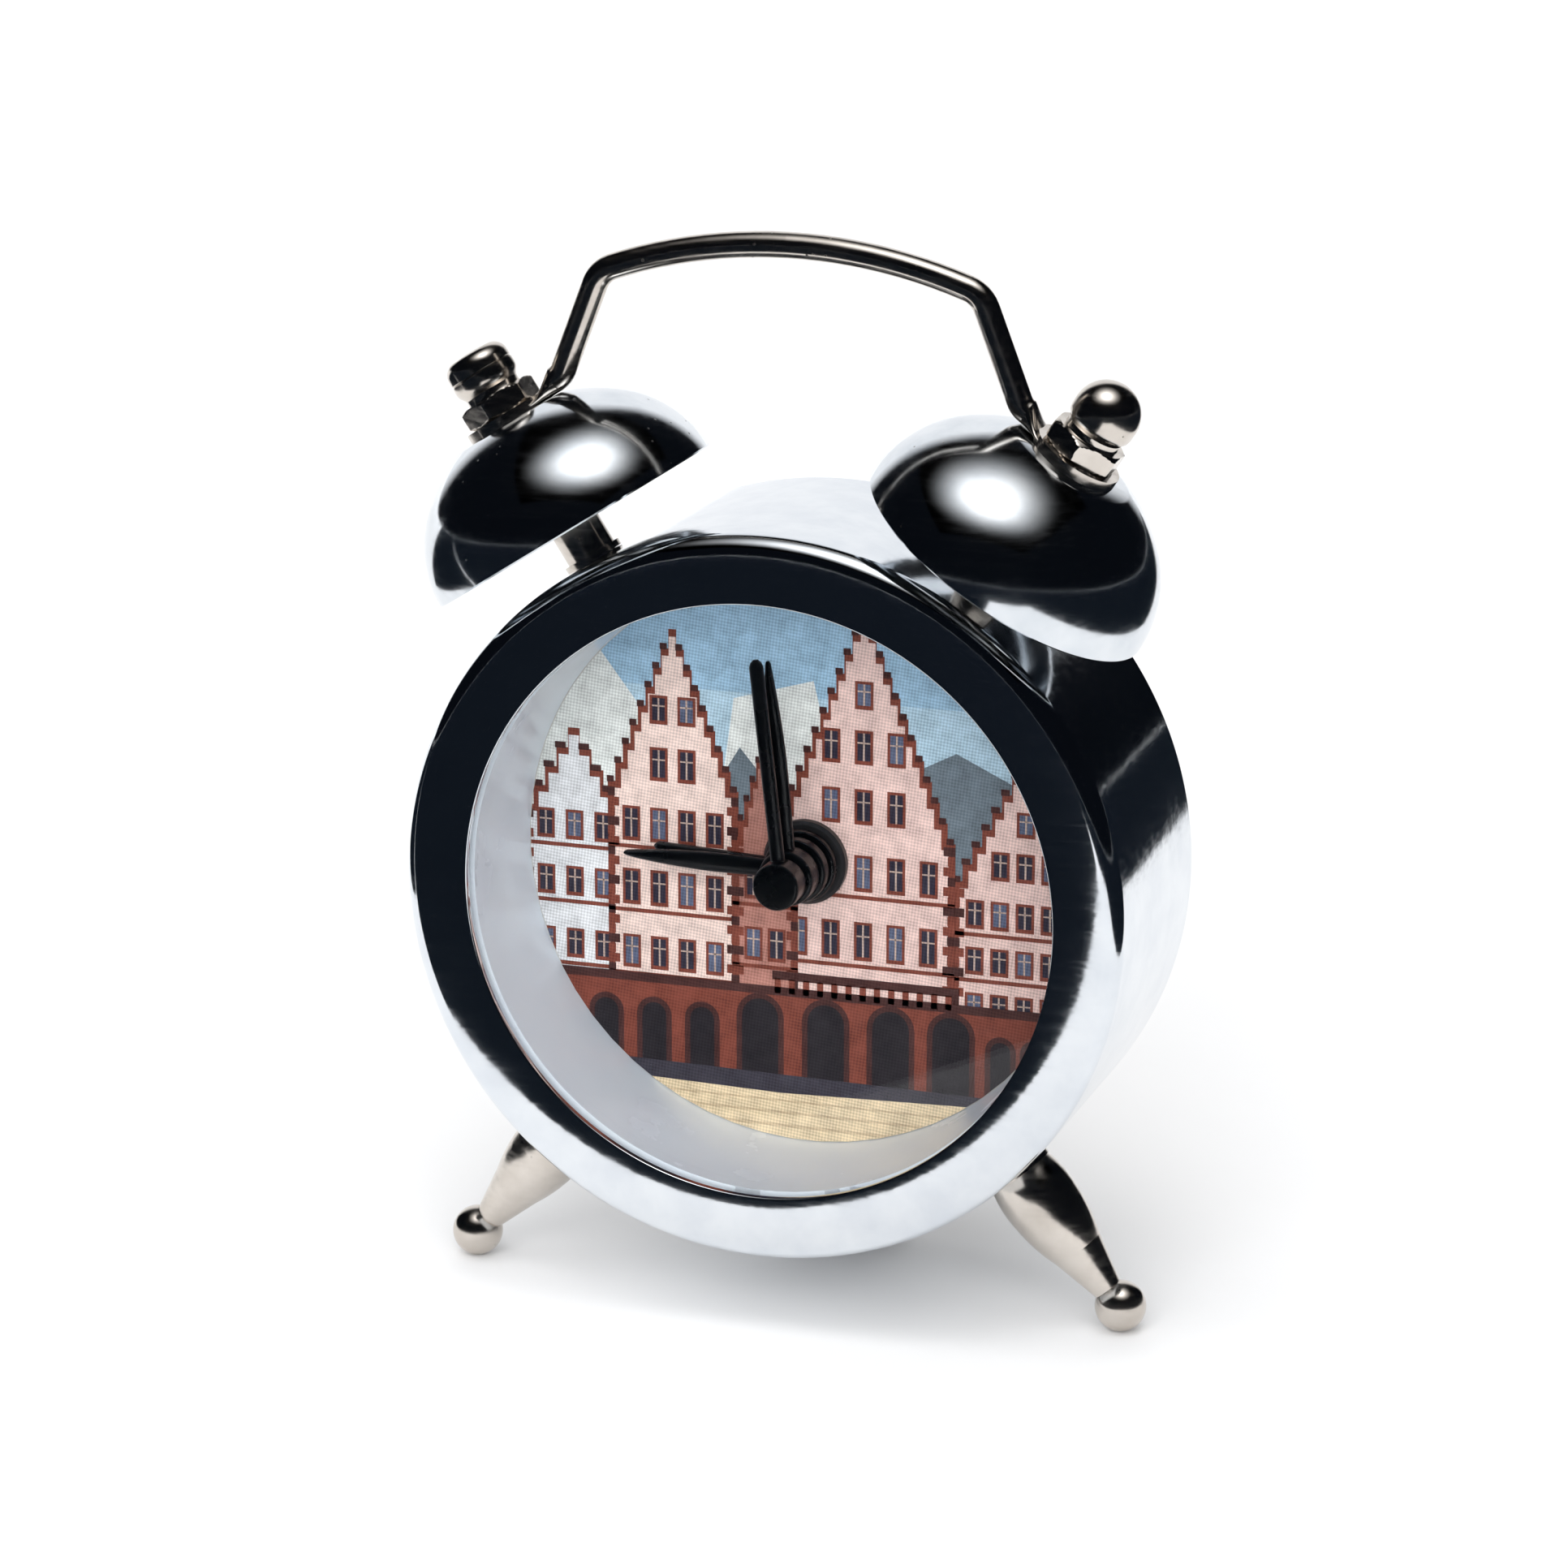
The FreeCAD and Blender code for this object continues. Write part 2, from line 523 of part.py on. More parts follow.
def make_legs():
    """Turned legs with ball feet, their washers and the nuts inside the case."""
    root = "case_radius + washer_thick"
    bore = "stud_radius + thread_gap"
    neck_height = ("leg_reach - sqrt(foot_radius ^ 2 - leg_neck_radius ^ 2)")
    washers, nuts = [], []
    for side_name, side in SIDES.items():
        turn = radial_turn(side, "180 - leg_angle")
        leg = turned(f"leg_{side_name}_body", [
            ("0", "leg_stub_foot"), ("stud_radius", "leg_stub_foot"), ("stud_radius", root),
            ("leg_root_radius", root),
            ("leg_belly_radius", f"{root} + 3.4", "9"),
            ("leg_waist_radius", f"{root} + 7.4", "14"),
            ("leg_neck_radius", neck_height),
            ("0", "leg_reach + foot_radius", "foot_radius")])
        node(leg, f"leg_{side_name}", depth="leg_depth", turn=turn)
        washer = turned(f"leg_washer_{side_name}", tube_profile(
            bore, "leg_washer_radius", "case_radius", root))
        washers.append(place(washer, turn=turn))
        nut = hexagon(f"leg_nut_{side_name}", "(inner_nut_top - inner_nut_height)",
                      "inner_nut_height", bore)
        nuts.append(place(nut, turn=turn))
    node(group("leg_washer_pair", *washers), "leg_washers", depth="leg_depth")
    node(group("leg_nut_pair", *nuts), "leg_nuts", depth="leg_depth")


# ---------------------------------------------------------------- gears

def arbor_places():
    """x and up of each arbor that stands beside the case axis."""
    step_x, step_up = polar("step_distance", "step_angle")
    turn_x, turn_up = polar("rotor_distance", "rotor_angle")
    places = {name: polar(f"{name}_distance", f"{name}_angle")
              for name in ("third", "minute", "alarm")}
    places["step"] = (step_x, step_up)
    places["rotor"] = (f"({step_x} + {turn_x})", f"({step_up} + {turn_up})")
    return places


def toothed_disc(name, key, module, start, thick, facing):
    """A disc with straight-sided teeth, one of them pointing at the angle facing."""
    teeth = TEETH[key]
    pitch_radius = teeth * module / 2
    tip, root = pitch_radius + 0.85 * module, pitch_radius - 1.1 * module
    step = 360.0 / teeth
    shape = ((-0.27, root), (-0.16, pitch_radius), (-0.08, tip),
             (0.08, tip), (0.16, pitch_radius), (0.27, root))
    corners = []
    for tooth in range(teeth):
        for share, radius in shape:
            angle = math.radians(facing + (tooth + share) * step)
            corners.append(FreeCAD.Vector(radius * math.sin(angle), 0, radius * math.cos(angle)))
    corners.append(corners[0])
    disc = doc.addObject("Part::Feature", name)
    face = Part.Face(Part.makePolygon(corners))
    disc.Shape = face.extrude(FreeCAD.Vector(0, thick, 0))
    disc.Placement.Base = FreeCAD.Vector(0, start, 0)
    return disc


def mesh_pair(driver, driven, layer, distance, direction):
    """The two toothed discs of a meshing pair: driver's partner lies in the given direction."""
    module = 2 * distance / (TEETH[driver] + TEETH[driven])
    thick, extra = value("gear_thick"), value("pinion_extra")
    start = LAYERS[layer]
    small, large = sorted((driver, driven), key=TEETH.get)
    facing = {driver: direction, driven: direction + 180 + 180.0 / TEETH[driven]}
    return {
        large: toothed_disc(f"{large}_teeth", large, module, start, thick, facing[large]),
        small: toothed_disc(f"{small}_teeth", small, module, start - extra, thick + 2 * extra,
                            facing[small]),
    }


def wheel(name, rims, rods, bore=None, at=("0", "0")):
    """A wheel: toothed rims fused to round sections given as (radius, start, end)."""
    sections = [rod_along_depth(f"{name}_rod_{index}", *rod) for index, rod in enumerate(rods)]
    solid = fuse(f"{name}_fuse", *rims, *sections)
    if bore:
        solid = cut(f"{name}_cut", solid, drill(f"{name}_bore", bore))
    x, up = at
    node(solid, name, x, "0", up)


def make_gears():
    """The going train, the motion work and the alarm setting gears."""
    centre_layer, third_layer = LAYERS["centre"], LAYERS["third"]
    pairs = {}
    for driver, driven, layer, distance, angle in (
            ("cannon_pinion", "minute_wheel", "minute", "minute_distance", "minute_angle"),
            ("hour_wheel", "minute_pinion", "hour", "minute_distance", "minute_angle"),
            ("centre_wheel", "third_pinion", "centre", "third_distance", "third_angle"),
            ("second_pinion", "third_wheel", "third", "third_distance", "third_angle"),
            ("second_wheel", "step_pinion", "second", "step_distance", "step_angle"),
            ("step_wheel", "rotor_pinion", "step", "rotor_distance", "rotor_angle"),
            ("alarm_wheel", "alarm_pinion", "alarm", "alarm_distance", "alarm_angle")):
        pairs.update(mesh_pair(driver, driven, layer, value(distance), value(angle)))
    thick = "gear_thick"
    arbor_ends = {hand: depths[3] for hand, depths in HAND_DEPTHS.items()}

    wheel("second_wheel", [pairs["second_wheel"], pairs["second_pinion"]],
          [("second_arbor_radius", arbor_ends["second"], "rear_back - 0.1"),
           ("0.7", str(third_layer), str(LAYERS["second"]))])
    wheel("third_wheel", [pairs["third_wheel"], pairs["third_pinion"]],
          [("thin_arbor_radius", "middle_front + 0.05", "rear_back - 0.1"),
           ("0.65", str(centre_layer), str(third_layer))], at=ARBORS["third"])
    wheel("centre_wheel", [pairs["centre_wheel"]],
          [("1.6", str(centre_layer - 0.1), f"{centre_layer} + {thick}")],
          "cannon_radius + run_gap")
    wheel("cannon_pinion", [pairs["cannon_pinion"]],
          [("cannon_radius", arbor_ends["minute"], f"{third_layer} - 0.1")],
          "second_arbor_radius + run_gap")
    wheel("hour_wheel", [pairs["hour_wheel"]],
          [("hour_tube_radius", arbor_ends["hour"], f"{LAYERS['hour']} + {thick}")],
          "cannon_radius + run_gap")
    wheel("minute_wheel", [pairs["minute_wheel"], pairs["minute_pinion"]],
          [("arbor_radius", "dial_front + dial_thick + 0.05", "knob_arbor_end"),
           ("0.9", str(LAYERS["hour"]), str(LAYERS["minute"]))], at=ARBORS["minute"])
    wheel("alarm_wheel", [pairs["alarm_wheel"]],
          [("alarm_tube_radius", arbor_ends["alarm"], f"{LAYERS['alarm']} + {thick}")],
          "hour_tube_radius + run_gap")
    wheel("alarm_pinion", [pairs["alarm_pinion"]],
          [("arbor_radius", "dial_front + dial_thick + 0.05", "knob_arbor_end")],
          at=ARBORS["alarm"])
    wheel("step_wheel", [pairs["step_wheel"], pairs["step_pinion"]],
          [("0.7", str(LAYERS["second"]), str(LAYERS["step"]))], "thin_arbor_radius - 0.1",
          at=ARBORS["step"])
    wheel("rotor", [pairs["rotor_pinion"]],
          [("rotor_pivot_radius", "middle_front + 0.05", "rear_back - 0.1"),
           ("magnet_radius", "magnet_front", "magnet_back")], at=ARBORS["rotor"])


# ---------------------------------------------------------------- hands

def stick_outline(length, width):
    """A straight hand with a round end."""
    half = f"({width}) / 2"
    return [(f"-{half}", "0"), (half, "0"), (half, f"{length} - {half}"),
            ("0", length, half), (f"-{half}", f"{length} - {half}", half)]


def lance_outline(length):
    """A hand that swells from its neck and tapers to a blunt point."""
    return [("-lance_neck / 2", "0"), ("lance_neck / 2", "0"),
            ("lance_width / 2", f"{length} * 0.42"),
            ("lance_width / 2 * 0.93", f"{length} * 0.6"),
            ("lance_tip / 2", f"{length} - lance_tip / 2"), ("0", length, "lance_tip / 2"),
            ("-lance_tip / 2", f"{length} - lance_tip / 2", "lance_tip / 2"),
            ("-lance_width / 2 * 0.93", f"{length} * 0.6"),
            ("-lance_width / 2", f"{length} * 0.42")]


def make_hand(hand, outline, hub_radius, bore_radius, bore_start="0"):
    """A moulded hand: a flat blade on a round hub, turned to its angle."""
    name = f"{hand}_hand"
    start, end, blade_back, _ = HAND_DEPTHS[hand]
    blade = padded(f"{name}_blade", outline, "blade_thick")
    place(blade, depth=blade_back)
    edge = 0.15
    hub = turned_along_depth(f"{name}_hub", [
        ("0", start), (f"{hub_radius} - {edge}", start), (hub_radius, f"{start} + {edge}"),
        (hub_radius, end), ("0", end)])
    solid = fuse(f"{name}_fuse", blade, hub)
    solid = cut(f"{name}_cut", solid, rod_along_depth(f"{name}_bore", bore_radius, bore_start,
                                                      f"{end} + 1"))
    node(solid, name, turn=(0, 1, 0, f"{name}_angle"))


def make_hands():
    """Second, minute, hour and alarm hands, from the front to the back."""
    fit = "thread_gap / 2"
    make_hand("second", stick_outline("second_hand_length", "stick_width"),
              "second_cap_radius", f"second_arbor_radius + {fit}", "6.55")
    make_hand("minute", lance_outline("minute_hand_length"), "minute_hub_radius",
              f"cannon_radius + {fit}")
    make_hand("hour", lance_outline("hour_hand_length"), "hour_hub_radius",
              f"hour_tube_radius + {fit}")
    make_hand("alarm", stick_outline("alarm_hand_length", "alarm_stick_width"),
              "alarm_hub_radius", f"alarm_tube_radius + {fit}")


# ---------------------------------------------------------------- movement plates

def pillar_places():
    """x and up of the three pillars that hold the movement plates."""
    upper = "pillar_circle * cos(45)"
    return [(f"-{upper}", upper), (upper, upper), ("low_pillar_across", "-low_pillar_down")]


def make_movement_plates():
    """Front plate with bush and pillars, middle plate, rear plate and their screws."""
    base_front = "dial_front + dial_thick"
    arbor_hole = "arbor_radius + run_gap"
    thin_hole = "thin_arbor_radius + run_gap"

    plate = turned_along_depth("base_plate", [
        ("alarm_tube_radius + run_gap", "bush_front"), ("bush_radius", "bush_front"),
        ("bush_radius", base_front), ("base_radius", base_front), ("base_radius", "base_back"),
        ("alarm_tube_radius + run_gap", "base_back")])
    pillars, pilots, clearances, screws = [], [], [], []
    for index, (x, up) in enumerate(pillar_places()):
        pillars.append(rod_along_depth(f"pillar_{index}", "pillar_radius", "base_back - 0.2",
                                       "rear_front", x, up))
        pillars.append(rod_along_depth(f"pillar_foot_{index}", "pillar_foot_radius",
                                       "base_back - 0.2", "middle_front", x, up))
        pilots.append(rod_along_depth(f"pilot_{index}", "screw_radius + thread_gap",
                                      "rear_front - screw_reach - 0.4", "rear_back", x, up))
        clearances.append(rod_along_depth(f"pillar_clear_{index}", "pillar_radius + run_gap",
                                          "middle_front - 1", "middle_back + 1", x, up))
        screws.append(turned_along_depth(f"movement_screw_{index}", [
            ("0", "rear_front - screw_reach"), ("screw_radius", "rear_front - screw_reach"),
            ("screw_radius", "rear_back"), ("screw_head_radius", "rear_back"),
            ("screw_head_radius", "rear_back + screw_head_height * 0.6"),
            ("screw_head_radius * 0.6", "rear_back + screw_head_height"),
            ("0", "rear_back + screw_head_height")], x, up))
    arbor_holes = [drill(f"base_hole_{name}", arbor_hole, *ARBORS[name])
                   for name in ("minute", "alarm")]
    node(cut("base_cut", fuse("base_fuse", plate, *pillars), *arbor_holes, *pilots),
         "movement_base")

    disc = rod_along_depth("middle_disc", "plate_radius", "middle_front", "middle_back")
    shared_holes = [(arbor_hole, *ARBORS["minute"]), (arbor_hole, *ARBORS["alarm"]),
                    (thin_hole, *ARBORS["third"]), ("rotor_pivot_radius + run_gap", *ARBORS["rotor"])]
    middle_holes = [("1.75", "0", "0"), *shared_holes]
    coil_window = block("coil_window", ("coil_left - 0.3", "coil_right + 0.3"),
                        ("middle_front - 1", "middle_back + 1"),
                        ("-coil_down - coil_radius - 0.3", "-coil_down + coil_radius + 0.3"))
    node(cut("middle_cut", disc, coil_window, *clearances, *[
        drill(f"middle_hole_{index}", *hole) for index, hole in enumerate(middle_holes)]),
         "movement_middle_plate")

    disc = rod_along_depth("rear_disc", "plate_radius", "rear_front", "rear_back")
    rear_holes = [("second_arbor_radius + run_gap", "0", "0"), *shared_holes,
                  ("well_radius + well_wall + 0.25", "battery_across", "-battery_down"),
                  ("buzzer_radius + 0.2", "-buzzer_across", "-buzzer_down")]
    rear_holes += [("screw_radius + thread_gap", x, up) for x, up in pillar_places()]
    post = rod_along_depth("step_post", "thin_arbor_radius - 0.1 - run_gap", "step_post_front",
                           "rear_front + 0.1", *ARBORS["step"])
    plate = cut("rear_cut", disc, *[
        drill(f"rear_hole_{index}", *hole) for index, hole in enumerate(rear_holes)])
    node(fuse("rear_fuse", plate, post), "movement_rear_plate")
    node(group("screw_group", *screws), "movement_screws")


# ---------------------------------------------------------------- motor, buzzer, battery

def make_electrics():
    """Stepper motor, circuit board, buzzer, battery and its contacts."""
    rotor_up = ARBORS["rotor"][1]
    leg = "1.2"
    left, right = f"coil_left - 0.2 - {leg}", f"coil_right + 0.2 + {leg}"
    sheet_span = ("stator_front", "stator_front + stator_thick")
    core_gap = "0.5"
    yoke = fuse("stator_yoke",
                block("stator_top", (left, right), sheet_span,
                      (f"{rotor_up} - 2.2", f"{rotor_up} + 2.2")),
                block("stator_left", (left, f"{left} + {leg}"), sheet_span,
                      (f"-coil_down - {core_gap}", rotor_up)),
                block("stator_right", (f"{right} - {leg}", right), sheet_span,
                      (f"-coil_down - {core_gap}", rotor_up)))
    node(cut("stator_cut", yoke, drill("stator_bore", "magnet_radius + 0.35", *ARBORS["rotor"])),
         "stator")

    axis_depth = "stator_front + stator_thick / 2"
    bobbin_profile = [
        ("0", "coil_left"), ("coil_radius", "coil_left"), ("coil_radius", "coil_left + 0.5"),
        ("1.1", "coil_left + 0.5"), ("1.1", "coil_right - 0.5"),
        ("coil_radius", "coil_right - 0.5"), ("coil_radius", "coil_right"), ("0", "coil_right")]
    along_x = (0, 1, 0, "90")
    node(turned("bobbin", bobbin_profile), "coil_bobbin", "0", axis_depth, "-coil_down", along_x)
    node(turned("winding", tube_profile("1.1", "coil_radius - 0.15", "coil_left + 0.5",
                                        "coil_right - 0.5")),
         "coil_winding", "0", axis_depth, "-coil_down", along_x)

    board_span = ("board_front", "board_front + board_thick")
    board_disc = rod_along_depth("board_disc", "plate_radius - 0.4", *board_span)
    board_area = block("board_area", ("-40", "4"), board_span, ("-40", "-3.5"))
    board = doc.addObject("Part::Common", "board_common")
    board.Base, board.Tool = board_disc, board_area
    low_pillar = pillar_places()[2]
    node(cut("board_cut", board, drill("board_relief", "screw_head_radius + 0.5", *low_pillar)),
         "circuit_board")
    chip_foot = "board_front + board_thick"
    node(turned("chip_body", [
        ("0", chip_foot), ("1.9", chip_foot), ("1.4", f"{chip_foot} + 0.5", "0.5"),
        ("0", f"{chip_foot} + 0.5")]), "chip", "-6", "0", "-8.5", ALONG_DEPTH)

    node(turned("buzzer_body", [
        ("0", "buzzer_front + 0.6"), ("1", "buzzer_front + 0.6"), ("1", "buzzer_front"),
        ("buzzer_radius - 0.3", "buzzer_front"), ("buzzer_radius", "buzzer_front + 0.3"),
        ("buzzer_radius", "board_front"), ("0", "board_front")]),
        "buzzer", "-buzzer_across", "0", "-buzzer_down", ALONG_DEPTH)

    back = "battery_front + battery_height"
    node(turned("battery_body", [
        ("0", "battery_front"), ("battery_radius - 1.1", "battery_front"),
        ("battery_radius - 1.1", "battery_front + 0.35"),
        ("battery_radius - 0.3", "battery_front + 0.35"),
        ("battery_radius", "battery_front + 0.65"), ("battery_radius", f"{back} - 0.25"),
        ("battery_radius - 0.25", back), ("0", back)]),
        "battery", "battery_across", "0", "-battery_down", ALONG_DEPTH)
    x, up = "battery_across", "-battery_down"
    strip = block("contact_strip", (f"{x} - 3.5", f"{x} + 3.5"),
                  ("battery_front - 0.2", "battery_front"), (f"{up} - 1.2", f"{up} + 1.2"))
    node(group("contact_strip_only", strip), "battery_contact_negative")
    blade = block("contact_blade", (f"{x} - 1.5", f"{x} + 1.5"), ("well_front + 0.05", f"{back} - 0.6"),
                  (f"{up} + battery_radius + 0.02", f"{up} + well_radius + 0.05"))
    node(group("contact_blade_only", blade), "battery_contact_positive")


# ---------------------------------------------------------------- back cover and controls

def make_back_cover():
    """Black moulded cover: skirt inside the case, raised boss, battery well and rear foot."""
    x, up = "battery_across", "-battery_down"
    skirt_inner = "skirt_radius - skirt_wall"
    shell = turned_along_depth("cover_shell", [
        (skirt_inner, "base_back"), ("skirt_radius", "base_back"),
        ("skirt_radius", "cover_plate_back"), ("boss_radius + 0.35", "cover_plate_back"),
        ("boss_radius", "cover_plate_back + 0.35", "-0.35"), ("boss_radius", "boss_back - 0.8"),
        ("boss_radius - 0.8", "boss_back", "0.8"), ("0", "boss_back"), ("0", "boss_inside"),
        ("boss_radius - boss_wall", "boss_inside"),
        ("boss_radius - boss_wall", "cover_plate_front"), (skirt_inner, "cover_plate_front")])
    well = rod_along_depth("well_outer", "well_radius + well_wall", "well_front",
                           "boss_inside + 0.2", x, up)
    foot_front = "case_depth + 0.15"
    half = "rear_foot_width / 2"
    floor, foot_top = f"-{AXIS}", "-(boss_radius - boss_wall) + 0.1"
    foot = padded("rear_foot", [
        (f"-({half})", floor), (half, floor), (f"{half} + 1.2", foot_top),
        (f"-({half}) - 1.2", foot_top)], "rear_foot_thick")
    place(foot, depth=f"{foot_front} + rear_foot_thick")
    solid = fuse("cover_fuse", shell, well, foot)

    hatch_half = "hatch_side / 2 + hatch_play"
    tools = [
        rod_along_depth("well_bore", "well_radius", "0", "boss_inside + 0.3", x, up),
        block("hatch_opening", (f"{x} - ({hatch_half})", f"{x} + {hatch_half}"),
              ("boss_inside + 0.2", "boss_back + 1"),
              (f"{up} - ({hatch_half})", f"{up} + {hatch_half}")),
        block("contact_slot", (f"{x} - 1.6", f"{x} + 1.6"), ("well_front - 0.1", "boss_inside"),
              (f"{up} + well_radius - 0.5", f"{up} + well_radius + 0.1")),
        block("switch_slot",
              ("-(switch_stem_width + switch_travel) / 2 - 0.1",
               "(switch_stem_width + switch_travel) / 2 + 0.1"),
              ("boss_inside - 1", "boss_back + 1"),
              ("switch_up - switch_stem_height / 2 - 0.1",
               "switch_up + switch_stem_height / 2 + 0.1")),
        block("foot_relief", ("-10", "10"), ("base_back - 1", foot_front), ("-40", "-skirt_radius")),
    ]
    for name in ("minute", "alarm"):
        tools.append(rod_along_depth(f"shaft_hole_{name}", "knob_shaft_radius + knob_play",
                                     "boss_inside - 1", "boss_back + 1", *ARBORS[name]))
    for index in range(5):
        centre = f"-buzzer_down + ({index} - 2) * 1.6"
        tools.append(block(f"sound_slot_{index}", ("-buzzer_across - 3", "-buzzer_across + 3"),
                           ("boss_inside - 1", "boss_back + 1"),
                           (f"{centre} - 0.4", f"{centre} + 0.4")))
    node(cut("cover_cut", solid, *tools), "back_cover")


def make_knobs():
    """Fluted setting knobs pressed on the minute wheel and alarm pinion arbors."""
    flutes = int(value("knob_flutes"))
    for name, arbor in (("time_set_knob", "minute"), ("alarm_set_knob", "alarm")):
        body = turned_along_depth(f"{name}_body", [
            ("arbor_radius + thread_gap", "knob_shaft_front"),
            ("knob_shaft_radius", "knob_shaft_front"),
            ("knob_shaft_radius", "knob_front"), ("knob_radius - 0.3", "knob_front"),
            ("knob_radius", "knob_front + 0.3"), ("knob_radius", "knob_back - 0.45"),
            ("knob_radius - 0.45", "knob_back", "0.45"), ("0", "knob_back"),
            ("0", "knob_socket_end"), ("arbor_radius + thread_gap", "knob_socket_end")])
        grooves = [rod_along_depth(f"{name}_flute_{index}", "flute_radius", "knob_front - 1",
                                   "knob_back + 1",
                                   *polar("(knob_radius + flute_radius * 0.45)",
                                          f"({index} * 360 / {flutes})"))
                   for index in range(flutes)]
        x, up = ARBORS[arbor]
        node(cut(f"{name}_cut", body, *grooves), name, x, "0", up)


def make_switch_and_hatch():
    """Alarm on/off slider, its contact, and the battery hatch."""
    rest = "-switch_travel / 2"
    half_stem, half_height = "switch_stem_width / 2", "switch_stem_height / 2"
    shoe = block("switch_shoe", (f"{rest} - 4", f"{rest} + 4"), ("switch_shoe_front", "boss_inside - 0.1"),
                 ("switch_up - 2.2", "switch_up + 2.2"))
    stem = block("switch_stem", (f"{rest} - {half_stem}", f"{rest} + {half_stem}"),
                 ("boss_inside - 0.2", "boss_back + 0.5"),
                 (f"switch_up - {half_height}", f"switch_up + {half_height}"))
    thumb = block("switch_thumb", (f"{rest} - 2", f"{rest} + 2"),
                  ("boss_back + 0.1", "switch_back - 0.4"), ("switch_up - 1.7", "switch_up + 1.7"))
    ridges = [block(f"switch_ridge_{index}",
                    (f"{rest} + ({index} - 2) * 0.85 - 0.2", f"{rest} + ({index} - 2) * 0.85 + 0.2"),
                    ("switch_back - 0.5", "switch_back"), ("switch_up - 1.5", "switch_up + 1.5"))
              for index in range(5)]
    node(fuse("switch_fuse", shoe, stem, thumb, *ridges), "alarm_switch")
    leaf = block("switch_leaf", ("-5", "5"), ("rear_back", "rear_back + 0.2"),
                 ("switch_up - 0.8", "switch_up + 0.8"))
    node(group("switch_leaf_only", leaf), "switch_contact")

    x, up = "battery_across", "-battery_down"
    half = "hatch_side / 2"
    front = "boss_back - hatch_thick"
    plate = block("hatch_plate", (f"{x} - {half}", f"{x} + {half}"), (front, "boss_back"),
                  (f"{up} - {half}", f"{up} + {half}"))
    grip = block("hatch_grip", (f"{x} - 3", f"{x} + 3"), ("boss_back - 0.2", "boss_back + 0.5"),
                 (f"{up} + {half} - 2.2", f"{up} + {half} - 1.2"))
    node(fuse("hatch_fuse", plate, grip), "battery_hatch")


# ---------------------------------------------------------------- build, check and export

def check_document():
    """Stop if any object failed or any piece is not a valid solid."""
    broken = [item.Name for item in doc.Objects
              if {"Invalid", "Error"} & set(getattr(item, "State", []))]
    if broken:
        raise RuntimeError(f"failed objects: {broken}")
    for name, thing in nodes.items():
        shape = thing.Shape
        if shape.isNull() or not shape.isValid() or not shape.Solids:
            raise RuntimeError(f"{name} is not a valid solid")


ARBORS = arbor_places()
make_case()
make_lens_and_dial()
make_bells()
make_bell_fasteners()
make_handle()
make_legs()
make_gears()
make_hands()
make_movement_plates()
make_electrics()
make_back_cover()
make_knobs()
make_switch_and_hatch()
doc.recompute()
check_document()

os.makedirs("parts", exist_ok=True)
for name, thing in nodes.items():
    thing.Shape.exportStep(f"parts/{name}.step")
    print(f"{name}: {len(thing.Shape.Solids)} solid(s), {thing.Shape.Volume:.2f} mm3")
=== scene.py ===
import json
import math

import bmesh
import bpy
from mathutils import Matrix, Vector


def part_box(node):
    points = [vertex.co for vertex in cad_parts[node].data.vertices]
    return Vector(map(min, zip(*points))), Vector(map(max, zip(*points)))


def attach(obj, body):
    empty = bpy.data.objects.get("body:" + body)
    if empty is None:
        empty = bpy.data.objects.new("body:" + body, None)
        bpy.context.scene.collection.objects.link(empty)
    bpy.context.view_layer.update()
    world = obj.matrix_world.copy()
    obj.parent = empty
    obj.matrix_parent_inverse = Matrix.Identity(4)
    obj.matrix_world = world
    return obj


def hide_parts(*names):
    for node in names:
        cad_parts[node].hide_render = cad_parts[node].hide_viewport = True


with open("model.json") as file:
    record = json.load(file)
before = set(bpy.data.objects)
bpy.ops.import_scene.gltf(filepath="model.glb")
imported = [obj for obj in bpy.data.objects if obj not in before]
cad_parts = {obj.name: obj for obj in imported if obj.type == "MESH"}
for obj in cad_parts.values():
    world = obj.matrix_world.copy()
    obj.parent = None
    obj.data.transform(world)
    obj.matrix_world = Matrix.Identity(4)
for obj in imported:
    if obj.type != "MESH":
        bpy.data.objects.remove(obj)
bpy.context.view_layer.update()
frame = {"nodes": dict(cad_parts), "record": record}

# Twin-bell alarm clock. Everything is in metres in the row frame: floor at z 0, dial facing -Y.
MM = 0.001
CASE_LOW, CASE_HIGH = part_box("case_shell")
AXIS_Z = (CASE_LOW[2] + CASE_HIGH[2]) / 2
BEZEL_Y = CASE_LOW[1]
DIAL_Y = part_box("dial")[0][1]

# ---------------------------------------------------------------- node helpers


def new_material(name):
    material = bpy.data.materials.new(name)
    material.use_nodes = True
    material.node_tree.nodes.clear()
    output = material.node_tree.nodes.new("ShaderNodeOutputMaterial")
    shader = material.node_tree.nodes.new("ShaderNodeBsdfPrincipled")
    material.node_tree.links.new(shader.outputs[0], output.inputs["Surface"])
    return material, shader


COLOUR_MIX_SOCKETS = (0, 6, 7)  # factor, A and B of a Mix node when it mixes colours
COLOUR_MIX_RESULT = 2


